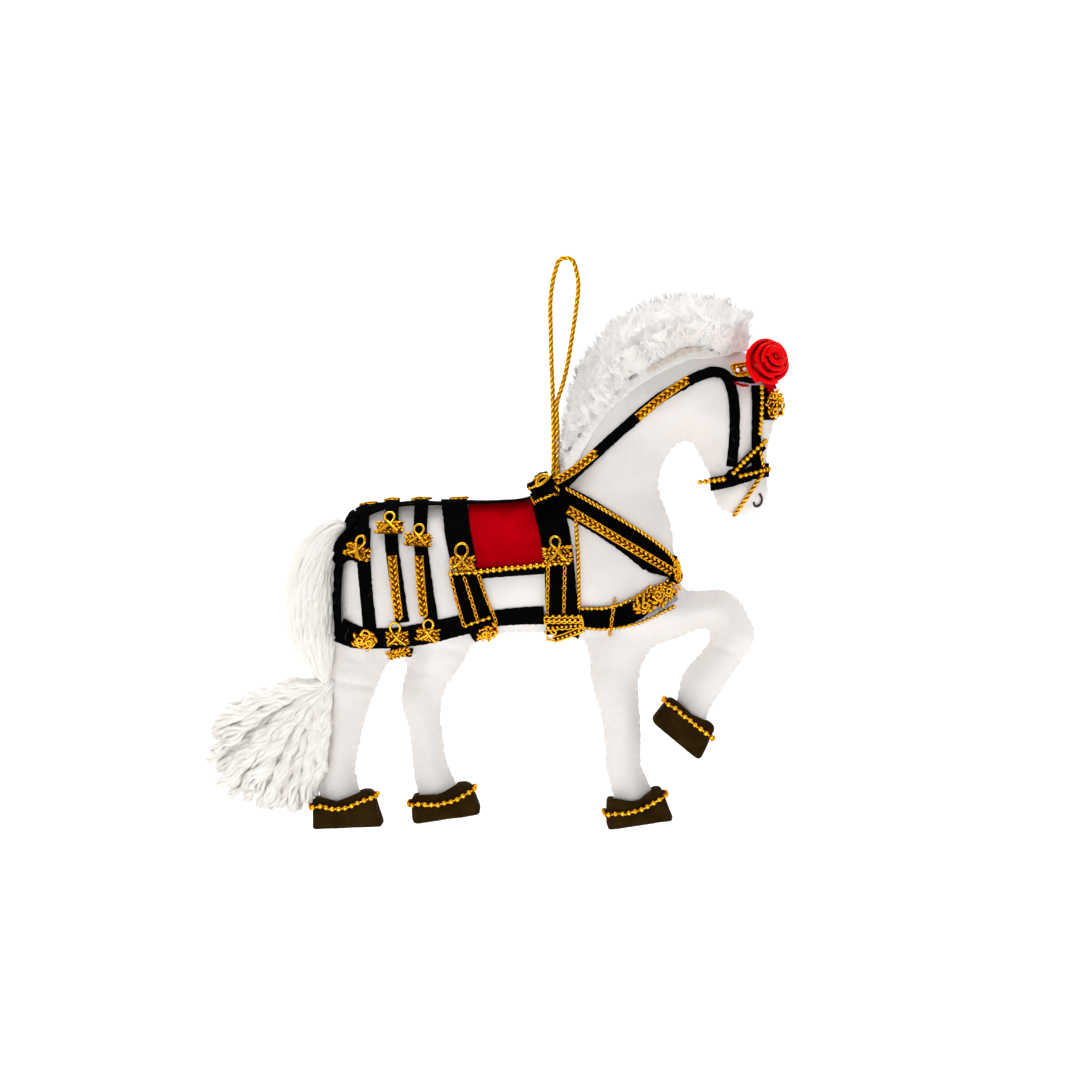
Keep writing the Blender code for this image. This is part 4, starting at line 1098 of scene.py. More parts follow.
    def stitches(self, dressing: Dressing) -> bpy.types.Object:
        """Thread whipped over the edge of the skin, all round it."""
        gathered = Gathering()
        line = self.seam
        area = (line[:, 0] * np.roll(line[:, 2], -1) - np.roll(line[:, 0], -1) * line[:, 2]).sum()
        ahead = unit_rows(np.roll(line, -3, axis=0) - np.roll(line, 3, axis=0))
        outward = np.stack([ahead[:, 2], 0 * ahead[:, 0], -ahead[:, 0]], axis=1) * np.sign(area)
        every = round(self.stitch_pitch / (self.sample * MM))
        rng = np.random.default_rng(SEED)
        profile = ring_profile(5)
        angles = np.radians(np.linspace(-84, 84, 9))
        for i in range(0, len(line) - every // 2, every):
            away, lean = outward[i], rng.normal(0.45, 0.12) * MM
            reach = self.stitch_reach * rng.uniform(0.8, 1.2)
            places = []
            for angle in angles:
                way = math.cos(angle) * away + math.sin(angle) * TO_VIEWER
                foot = line[i] - reach * away + lean * (angle / 1.5) * ahead[i]
                height = dressing.height(foot, way, 2.4 * MM)
                places.append(foot + way * (max(height, 0.3 * MM) - 0.15 * self.thread))
            places = np.array(places)
            places[0] += 0.25 * MM * TO_VIEWER
            places[-1] -= 0.25 * MM * TO_VIEWER
            gathered.sweep(places, profile, self.thread, tone=rng.uniform(0, 0.4))
        return gathered.piece("seam_stitches", THREAD)


@dataclass
class Ribbon:
    """One ribbon of the harness, sewn down along its way."""

    name: str
    controls: list[Control]
    width: float
    thickness: float = 0.5 * MM
    closed: bool = False
    finish: Finish = VELVET
    slot: str = "velvet_ribbon"
    reach: float | None = None
    cell: float = 0.7 * MM
    frayed: float = 0.05 * MM
    slack: float = 0.12
    flat_length: float = 0.0
    stands_in: bool = True

    def model(self, dressing: Dressing) -> bpy.types.Object:
        """Lay the strip over what is dressed so far, and give it its thickness."""
        places, ways, across = dressing.net(self.controls, self.width, self.cell, self.closed, reach=self.reach,
                                            slack=self.slack)
        rows, columns = places.shape[:2]
        rng = np.random.default_rng(SEED + len(self.name) + rows)
        ragged = rng.normal(0, self.frayed, (rows, 2))
        places[:, 0] += across[:, 0] * ragged[:, :1]
        places[:, -1] += across[:, -1] * ragged[:, 1:]
        if self.closed:
            places = np.vstack([places, places[:1]])
            rows += 1
        deselect()
        bpy.ops.mesh.primitive_grid_add(x_subdivisions=columns - 1, y_subdivisions=rows - 1, size=1)
        obj = bpy.context.object
        flat = corners_of(obj)
        i = np.rint((flat[:, 1] + 0.5) * (rows - 1)).astype(int)
        j = np.rint((flat[:, 0] + 0.5) * (columns - 1)).astype(int)
        lengths = lengths_along(places[:, columns // 2])
        self.flat_length = float(lengths[-1])
        for loop, uv in zip(obj.data.loops, obj.data.uv_layers[0].data):
            index = loop.vertex_index
            uv.uv = (j[index] / (columns - 1) * self.width, lengths[i[index]])
        move_corners(obj, places[i, j])
        settle(obj)
        face = obj.data.polygons[len(obj.data.polygons) // 2]
        middle = face.vertices[0]
        if Vector(ways[min(i[middle], len(ways) - 1), j[middle]]).dot(face.normal) < 0:
            edit(obj, bpy.ops.mesh.flip_normals)
        if self.closed:
            edit(obj, bpy.ops.mesh.remove_doubles, threshold=TINY)
        work(obj, "SOLIDIFY", thickness=self.thickness, offset=1.0)
        work(obj, "BEVEL", width=0.3 * self.thickness, segments=2, limit_method="ANGLE",
             angle_limit=math.radians(50), loop_slide=False)
        obj.name = obj.data.name = self.name + "_laid"
        obj.data.shade_smooth()
        return obj

    def lay(self, dressing: Dressing) -> bpy.types.Object:
        """Lay the ribbon, in place of its CAD node if it has one, and take it into the dressing."""
        obj = dressed(self.model(dressing), self.finish, (self.name,) if self.stands_in else ())
        dressing.add(obj)
        return obj

    def lay_free(self, dressing: Dressing) -> bpy.types.Object:
        """Lay a strip that has no CAD node of its own."""
        return dressed(self.model(dressing), self.finish)


@dataclass
class Harness:
    """The black ribbons and the red saddle cloth, in the order in which they were sewn on."""

    dressing: Dressing

    def ribbons(self) -> list[Ribbon]:
        """Every ribbon with its way over the horse."""
        up, down, unit = 90, 270, self.dressing.unit
        back = [(*way, 1.0) for way in ((-49.5, -73.5, 88, 150), (-48.5, -70.5, 90, 128), (-46, -69.5, 90, 105),
                                        (-40, -69, 90, up), (-25, -69, 90, up), (-7.4, -68.6, 90, up))]
        made = [Ribbon("saddle_cloth", over([(-13.9, -77.1), (-14.6, -72), (-15.5, -68.6)], up), 17.5 * unit,
                       0.45 * MM, finish=RED_RIBBON, slot="red_ribbon", cell=0.8 * MM, frayed=0.02 * MM),
                Ribbon("back_strap", back, 6.4 * unit)]
        thigh = [(*way, 1.0) for way in ((-47.5, -70, 78, 122), (-49.5, -74, 74, 145), (-50.0, -80, 74, 172),
                                         (-50.2, -86, 74, 182), (-50.2, -93, 72, 186))]
        croup = [(-56.6, -75.5, 0, 0, 0.3), (-55.4, -73.0, 0, 0, 0.65), (-53.4, -71.4, 0, 0, 0.95),
                 (-51.0, -71.0, 0, 0, 1.0), (-48.3, -71.0, 0, 0, 1.0)]
        belly = [(x, z, 0, 0, w / 5) for x, z, w in (
            (-56.2, -91.9, 6.1), (-53.4, -93.1, 5.9), (-50.5, -93.8, 5.5), (-44, -93.9, 5.0), (-37.1, -93.1, 5.3),
            (-32.9, -92.3, 5.4), (-27.2, -91, 5.1), (-16.6, -88.9, 4.2), (-5.5, -88.2, 4.6))]
        for where, change in BOTH_SIDES:
            made += [Ribbon("thigh_strap_" + where, change(thigh), 5.0 * unit, stands_in=False),
                     Ribbon("croup_patch_" + where, change(croup), 8.4 * unit, stands_in=False),
                     Ribbon("breeching_strap_" + where, change(belly), 5.0 * unit)]
        hips = {"middle": [(-40.3, -90), (-42.0, -78), (-43.1, -69.5)],
                "front": [(-33.1, -90), (-34.8, -78.8), (-35.9, -69)]}
        rear = over([(-48.4, -91.5), (-49.2, -83), (-49.8, -76), (-50.1, -71.2)], 93)
        made.append(Ribbon("hip_strap_rear", rear, 3.3 * unit))
        made += [Ribbon("hip_strap_" + where, over(places, up), 3.4 * unit) for where, places in hips.items()]
        panel = side([(-25.2, -77.5), (-23.6, -83), (-21.8, -90)])
        made += [Ribbon("rear_girth_panel_near", panel, 7.5 * unit),
                 Ribbon("rear_girth_panel_far", mirrored(side([(-25.3, -75.6)]) + panel[1:]), 7.5 * unit),
                 Ribbon("rear_saddle_band", over([(-25.2, -76), (-25.9, -72), (-26.6, -68.6)], 98), 6.4 * unit)]
        breast = side([(-1.6, -59.3), (3.5, -62.0), (8.5, -65.0), (13.5, -68.3), (18.2, -71.8), (21.6, -74.6)])
        chest = side([(3.5, -89.1), (8.5, -88.9), (13.5, -88.3)]) + side([(18.2, -86.6)], 0.85)
        chest += side([(21.8, -84.2)], 0.6)
        edge = side([(-21.8, -78), (-13.5, -77.4), (-5.4, -76.8)])
        made += [Ribbon("saddle_edge_near", edge, 2.5 * unit), Ribbon("saddle_edge_far", mirrored(edge), 2.5 * unit),
                 Ribbon("front_girth", over([(-1, -83), (-0.8, -88)], down), 8.0 * unit),
                 Ribbon("front_saddle_band", over([(-1.2, -87.5), (-1.6, -78), (-2.4, -71), (-3.2, -66.5)], 103),
                        7.5 * unit),
                 Ribbon("withers_patch", side([(-3.4, -56.6), (0.2, -57.6)]), 3.4 * unit, stands_in=False),
                 Ribbon("breast_strap", breast + fold((22.6, -75.4), -14, 0.8) + mirrored(breast)[::-1], 7.0 * unit),
                 Ribbon("breast_collar", chest + fold((23.0, -82.0), 30, 0.35) + mirrored(chest)[::-1],
                        5.4 * unit, reach=0.6 * self.dressing.reach)]
        neck = side([(-1, -56.5), (3.5, -52), (13.5, -42.8), (23.5, -34.5), (33.5, -29), (37.5, -28.4),
                     (39.9, -30), (41.3, -35.5), (41.5, -43.8), (40.9, -51.5)])
        cheek = side([(46.9, -31.5), (47.0, -41), (47.1, -51.5)])
        nose = side([(48.8, -46.2), (44.5, -50.2), (40.2, -54.2)])
        for where, change in BOTH_SIDES:
            made += [Ribbon("neck_strap_" + where, change(neck), 2.65 * unit),
                     Ribbon("cheek_strap_" + where, change(cheek), 2.3 * unit),
                     Ribbon("nose_strap_" + where, change(nose), 2.3 * unit)]
        made += [Ribbon("noseband", around([(46, -53.0), (43.5, -54), (40.3, -55.0)], 10, 192), 3.3 * unit,
                        closed=True),
                 Ribbon("brow_band", over([(40.4, -29.8), (44, -30), (46.4, -30.2)], 20), 1.5 * unit),
                 Ribbon("hock_tab", side([(-43.4, -96.5), (-38.3, -97.6)]), 2.3 * unit, stands_in=False),
                 Ribbon("belly_tab", side([(-23.4, -91.4), (-21.6, -94.2)]), 2.6 * unit, stands_in=False),
                 Ribbon("brooch_pad", leaning([(47.3, -31.9), (47.7, -39.9)], 45, 0), 5.2 * unit, stands_in=False)]
        return made

    def dress(self) -> None:
        for ribbon in self.ribbons():
            obj = ribbon.lay(self.dressing)
            if ribbon.name == "saddle_cloth":
                LOG.info("saddle cloth flat size %.4f x %.4f", ribbon.width, ribbon.flat_length)


class Twist(Enum):
    """How a line of trim is made."""

    BEADS = "beads"
    ROPE = "rope"
    PLAIT = "plait"
    LINKS = "links"


@dataclass
class Trim:
    """A narrow line of gilt trim, sewn or glued down along its way."""

    name: str
    controls: list[Control]
    kind: Twist
    width: float
    pitch: float
    stands_in: bool = False
    closed: bool = False
    lift: float | None = None
    reach: float | None = None

    def lay(self, dressing: Dressing) -> bpy.types.Object:
        """Make the trim along its way over what is dressed so far."""
        lift = 0.42 * self.width if self.lift is None else self.lift
        track = dressing.track(self.controls, 0.4 * MM, self.closed, lift, self.reach, 0.8 * self.width)
        gathered = Gathering()
        {Twist.BEADS: self.beads, Twist.ROPE: self.rope, Twist.PLAIT: self.plait,
         Twist.LINKS: self.links}[self.kind](gathered, track)
        return gathered.piece(self.name + "_gilt", GILT, "gilt_trim", (self.name,) if self.stands_in else ())

    def beads(self, gathered: Gathering, track: Track) -> None:
        """Balls on a thread."""
        rng = np.random.default_rng(SEED + len(self.name))
        spots = track.spaced(self.pitch, 0.45 * self.width)
        count = len(spots.points)
        jitter = rng.normal(0, 0.03 * self.width, (count, 3))
        sizes = 0.5 * self.width * rng.uniform(0.94, 1.04, (count, 1)) * np.array([[0.98, 1.0, 1.0]])
        gathered.copies(Template.bead(), spots.points + jitter, spots.frames, sizes)
        line = np.vstack([track.points, track.points[:1]]) if self.closed else track.points
        gathered.sweep(line, ring_profile(6), 0.2 * self.width)

    def rope(self, gathered: Gathering, track: Track) -> None:
        """Strands laid up round each other."""
        spots = track.spaced(self.pitch / 8)
        count = len(spots.points)
        turns = np.arange(count) * 2 * math.pi / 8 / 2 + 0.6
        ends = np.minimum(np.arange(count), np.arange(count)[::-1])
        radius = 0.5 * self.width * np.clip(0.6 + 0.25 * ends, 0, 1)
        frames = spots.frames
        # The grooves between the strands get painted shade, the crests painted highlights
        gathered.sweep(spots.points, lobed_profile(2, 0.5, 6), radius, (frames[:, 1], frames[:, 2]), turns,
                       hollow=0.52)

    def plait(self, gathered: Gathering, track: Track) -> None:
        """Two rows of slanting grains, like an ear of wheat, between thin edge cords."""
        spots = track.spaced(self.pitch, 0.5 * self.pitch)
        frames = spots.frames
        for hand in (-1, 1):
            shift = 0.0 if hand < 0 else 0.5 * self.pitch
            places = spots.points + frames[:, 0] * shift + frames[:, 1] * hand * 0.19 * self.width
            turned = frames.copy()
            angle = math.radians(33) * -hand
            turned[:, 0] = frames[:, 0] * math.cos(angle) + frames[:, 1] * math.sin(angle)
            turned[:, 1] = -frames[:, 0] * math.sin(angle) + frames[:, 1] * math.cos(angle)
            sizes = np.array([1.2 * self.pitch, 0.6 * self.pitch, 0.66 * self.width])
            gathered.copies(Template.grain(), places, turned, sizes)
            edge = track.shifted(hand * 0.42 * self.width, -0.14 * self.width)
            self.edging(gathered, edge)
        # A bed under the grains with low relief: painted shade in the gaps between them
        bed = track.shifted(0.0, -0.3 * self.width)
        flat = ring_profile(8) * np.array([0.46, 0.14])
        gathered.sweep(bed.points, flat, self.width, (bed.frames[:, 1], bed.frames[:, 2]))
        gathered.relief[-1] = np.full(len(gathered.points[-1]), 0.3)

    def edging(self, gathered: Gathering, edge: Track) -> None:
        """A thin twisted cord along the edge of a plait."""
        along = lengths_along(edge.points)
        # The grooves between the strands get painted shade, the crests painted highlights
        gathered.sweep(edge.points, lobed_profile(2, 0.35, 3), 0.13 * self.width,
                       (edge.frames[:, 1], edge.frames[:, 2]), along * math.pi / (0.55 * self.pitch), hollow=0.5)

    def links(self, gathered: Gathering, track: Track) -> None:
        """Small open links, each turned against the next."""
        spots = track.spaced(self.pitch, 0.4 * self.pitch)
        frames = spots.frames
        roll = np.where(np.arange(len(frames)) % 2 == 0, math.radians(28), math.radians(-42))
        turned = frames.copy()
        cos, sin = np.cos(roll)[:, None], np.sin(roll)[:, None]
        turned[:, 1] = frames[:, 1] * cos + frames[:, 2] * sin
        turned[:, 2] = -frames[:, 1] * sin + frames[:, 2] * cos
        gathered.copies(Template.link(), spots.points, turned,
                        np.array([1.3 * self.pitch, 1.05 * self.width, 1.05 * self.width]))


def arc(centre: Place, radius: float, start: float, end: float, count: int = 12, squash: float = 1.0
        ) -> list[Place]:
    """Points on part of a circle, by angles in degrees."""
    return [(centre[0] + radius * math.cos(a), centre[1] + squash * radius * math.sin(a))
            for a in np.radians(np.linspace(start, end, count))]


def curl(centre: Place, radius: float, start: float, turns: float, count: int = 22) -> list[Place]:
    """Points on a spiral that winds in towards its centre; a negative number of turns winds clockwise."""
    shares = np.linspace(0, 1, count)
    angles = math.radians(start) + 2 * math.pi * turns * shares
    radii = radius * (1 - 0.72 * shares)
    return [(centre[0] + r * math.cos(a), centre[1] + r * math.sin(a)) for r, a in zip(radii, angles)]


@dataclass
class Fitting:
    """A stamped or wound gilt fitting, modelled flat and then set on the harness."""

    name: str
    place: Place
    size: tuple[float, float]
    turn: float = 0.0
    tilt: float = 0.0
    out: float = 0.0
    stands_in: bool = True
    lift: float = 0.0
    scale: float = 1.0

    def plate(self, gathered: Gathering, width: float, height: float, thickness: float, relief: float = 0.0
              ) -> None:
        """A thin plate with softened edges under the relief; a low relief value paints it as shade between the raised
        work.
        """
        deselect()
        bpy.ops.mesh.primitive_cube_add(size=1)
        obj = bpy.context.object
        obj.data.transform(Matrix.Diagonal((width, height, thickness, 1)))
        obj.data.transform(Matrix.Translation((0, 0, thickness / 2)))
        work(obj, "BEVEL", width=0.3 * thickness, segments=2)
        shape = Template.taken(obj)
        gathered.add(shape.points, shape.faces, relief)

    def wire(self, gathered: Gathering, points: list, radius: float, height: float, lobes: int = 0,
             closed: bool = False) -> None:
        """A wire bent flat on the fitting, plain or laid up of strands."""
        line = np.array([(p[0], p[1], (p[2] if len(p) > 2 else 0.0) + height) for p in points]) * MM
        line = smooth_line(line, 0.22 * MM, closed)
        if closed:
            line = np.vstack([line, line[:1]])
        # Laid wires get painted shade in their grooves and painted highlights on their strands
        profile = lobed_profile(lobes, 0.42, 5) if lobes else ring_profile(7)
        turns = np.arange(len(line)) * 0.22 / 1.25 * math.pi if lobes else 0.0
        before = len(gathered.points)
        gathered.sweep(line, profile, radius * MM, turns=turns, hollow=0.55 if lobes else 0.0)
        # A plain wire's relief rises towards its top: a painted highlight there and painted shade along its underside
        if not lobes:
            over = gathered.points[before].reshape(len(line), len(profile), 3)[..., 2] - line[:, None, 2]
            gathered.relief[before] = np.clip(0.15 + 0.9 * over / (radius * MM), 0, 1).ravel()

    def dots(self, gathered: Gathering, points: list[Place], radius: float, height: float) -> None:
        """A row of beads."""
        places = np.array([(x, y, height) for x, y in points]) * MM
        frames = np.repeat(np.eye(3)[None], len(places), axis=0)
        gathered.copies(Template.bead(), places, frames, np.full(3, radius * MM))

    def grains(self, gathered: Gathering, places: np.ndarray, angles: np.ndarray, lengths: np.ndarray) -> None:
        """Pointed grains that lie at these places, turned by these angles."""
        zero, one = np.zeros(len(angles)), np.ones(len(angles))
        cos, sin = np.cos(angles), np.sin(angles)
        frames = np.stack([np.stack([cos, sin, zero], axis=1), np.stack([-sin, cos, zero], axis=1),
                           np.stack([zero, zero, one], axis=1)], axis=1)
        gathered.copies(Template.grain(), places * MM, frames, lengths[:, None] * np.array([1.0, 0.5, 0.55]) * MM)

    def model(self, gathered: Gathering) -> None:
        """The fitting's own form, lying in XY with Z outwards, in millimetres."""
        raise NotImplementedError

    def set_on(self, dressing: Dressing) -> bpy.types.Object:
        """Model the fitting and set it on what is dressed so far."""
        gathered = Gathering()
        self.model(gathered)
        width, height = self.size
        foot, axes = dressing.plate(self.place, self.tilt, self.out, width * MM, height * MM)
        angle = math.radians(self.turn)
        along = axes[0] * math.cos(angle) + axes[1] * math.sin(angle)
        up = -axes[0] * math.sin(angle) + axes[1] * math.cos(angle)
        frame = np.stack([along, up, axes[2]])
        foot = foot + axes[2] * (0.05 + self.lift) * MM
        gathered.points = [self.scale * points @ frame + foot for points in gathered.points]
        return gathered.piece(self.name + "_gilt", GILT, "gilt_trim", (self.name,) if self.stands_in else ())


@dataclass
class Buckle(Fitting):
    """A cut length of broad gilt plait with a wire lasso on it."""

    ring: float = 1.2
    rows: int = 4

    def model(self, gathered: Gathering) -> None:
        """A bed, dark with painted shade, rows of slanting grains, frayed ends, and the lasso across them."""
        width, height = self.size
        self.plate(gathered, 0.93 * width * MM, 0.88 * height * MM, 0.3 * MM, 0.25)
        rng = np.random.default_rng(SEED + len(self.name) * 7 + round(abs(self.place[0]) * 10))
        for row in range(self.rows):
            x = np.arange(-0.43 * width, 0.4 * width, 0.98) + 0.4 * (row % 2)
            count = len(x)
            y = (row + 0.5) / self.rows - 0.5
            places = np.stack([x, np.full(count, 0.94 * height * y), rng.uniform(0.38, 0.6, count)], axis=1)
            places[:, :2] += rng.normal(0, 0.1, (count, 2))
            angles = np.radians((36 if row % 2 else -36) + rng.normal(0, 13, count))
            self.grains(gathered, places, angles, rng.uniform(1.35, 1.75, count))
        for end in (-1, 1):
            for _ in range(5):
                v = rng.uniform(-0.45, 0.45) * height
                self.wire(gathered, [(end * 0.4 * width, v, 0.2), (end * 0.48 * width, v * 1.03, 0.15),
                                     (end * (0.5 * width + rng.uniform(0.0, 0.2)), v * 1.05, 0.0)], 0.18, 0.3)
        if self.ring:
            top = 0.5 * height + 0.75 * self.ring
            loop = [(2.1, -0.42 * height, 0.75), (0.8, -0.1 * height, 0.95), (-0.5, 0.3 * height, 0.85)]
            loop += [(x - 0.2, z, 0.25) for x, z in arc((0.0, top), self.ring, 225, -45, 13, 1.12)]
            loop += [(0.5, 0.3 * height, 0.6), (-0.7, -0.05 * height, 0.7), (-2.1, -0.3 * height, 0.6)]
            self.wire(gathered, loop, 0.33, 0.45)


@dataclass
class Cluster(Fitting):
    """A stamped cluster of scrolls and leaves, so dense that its bed hardly shows."""

    leaves: int = 26
    curls: tuple = ()
    beads: tuple = ()
    thick: float = 0.28

    def model(self, gathered: Gathering) -> None:
        """Leaves that swirl round the middle, then scrolls and beads on them."""
        width, height = self.size
        # A bed dark with painted shade under the leaves
        self.plate(gathered, 0.72 * width * MM, 0.66 * height * MM, 0.3 * MM, 0.25)
        rng = np.random.default_rng(SEED + len(self.name))
        turn = np.arange(self.leaves) * 2.4
        far = np.sqrt((np.arange(self.leaves) + 0.5) / self.leaves)
        places = np.stack([0.48 * width * far * np.cos(turn), 0.46 * height * far * np.sin(turn),
                           0.65 - 0.3 * far], axis=1)
        places[:, :2] += rng.normal(0, 0.14, (self.leaves, 2))
        self.grains(gathered, places, turn + math.pi / 2 + rng.normal(0, 0.6, self.leaves),
                    rng.uniform(1.3, 2.0, self.leaves))
        for centre, radius, start, turns in self.curls:
            points = curl(centre, radius, start, turns)
            self.wire(gathered, [(x, y, 0.4 + 0.35 * i / len(points)) for i, (x, y) in enumerate(points)],
                      self.thick, 0.35)
        if self.beads:
            self.dots(gathered, list(self.beads), 0.36, 0.85)


@dataclass
class GirthClasp(Fitting):
    """Four rows of beads on a plate, with a slanting bar of beads below."""

    def model(self, gathered: Gathering) -> None:
        """Rows of beads between wavy cords, a curl at the corner and the slanting bar."""
        # A plate with no relief: painted shade between the rows
        self.plate(gathered, 9.2 * MM, 4.6 * MM, 0.4 * MM)
        for count, left, right, offset in ((6, 2.2, 2.3, 0.0), (7, 1.15, 1.2, 0.4), (8, -1.25, -0.55, 0.1)):
            self.dots(gathered, [(x + offset, left + (right - left) * (x + 4.1) / 8.2)
                                 for x in np.linspace(-4.0, 4.0, count)], 0.42, 0.5)
        for left, right, waves in ((1.75, 1.75, 0.0), (0.6, 0.55, 1.7), (0.05, 0.1, 3.6), (-2.05, -1.4, 0.4)):
            self.wire(gathered, [(x, left + (right - left) * (x + 4.6) / 9.2 + 0.17 * math.sin(4.3 * x + waves))
                                 for x in np.linspace(-4.6, 4.7, 44)], 0.21, 0.42)
        self.wire(gathered, [(-4.6, 1.9), (-4.75, 0.8), (-4.5, -0.4), (-4.2, -1.3), (-3.8, -2.0)], 0.2, 0.4)
        self.wire(gathered, [(4.5, 2.3), (4.8, 1.2), (4.9, 0.0), (4.8, -1.3)], 0.22, 0.4)
        self.wire(gathered, [(-3.9, -1.9), (-3.3, -2.6), (-2.9, -3.3), (-2.2, -3.0), (-2.1, -2.3), (-2.8, -2.1)],
                  0.26, 0.45)
        bar = [(-2.6, -5.5), (0.0, -4.6), (2.6, -3.4), (5.0, -2.3)]
        # A thick wire of low relief under the bar: painted shade behind it
        self.wire(gathered, [(x - 0.18, y + 0.66) for x, y in bar], 0.62, -0.1)
        gathered.relief[-1] = np.full(len(gathered.points[-1]), 0.1)
        self.wire(gathered, bar, 0.34, 0.3)
        self.wire(gathered, [(x - 0.35, y + 1.35) for x, y in bar], 0.2, 0.3)
        self.dots(gathered, [(x - 0.2, y + 0.68) for x, y in smooth_line(bar, 1.22)[:, :2]], 0.4, 0.42)
        self.wire(gathered, [(-2.9, -4.2), (-3.9, -4.6), (-4.7, -3.1), (-4.9, -2.4)], 0.2, 0.35)
        self.wire(gathered, [(-2.6, -5.6), (-3.7, -5.1), (-4.6, -5.0), (-4.4, -4.2)], 0.24, 0.35)


@dataclass
class PollClasp(Fitting):
    """A small frame of gilt with two pearls in it."""

    def model(self, gathered: Gathering) -> None:
        """The frame and its bed."""
        width, height = self.size
        # The bed is dark with painted shade inside the frame
        self.plate(gathered, width * MM, height * MM, 0.4 * MM, 0.35)
        corners = [(-0.46, -0.4), (0.0, -0.5), (0.46, -0.44), (0.5, 0.0), (0.46, 0.42), (0.0, 0.48), (-0.46, 0.44),
                   (-0.5, 0.0)]
        self.wire(gathered, [(x * width, y * height) for x, y in corners], 0.34, 0.45, 2, closed=True)
        self.wire(gathered, [(x * 0.6 * width, y * 0.55 * height) for x, y in corners], 0.2, 0.5, closed=True)


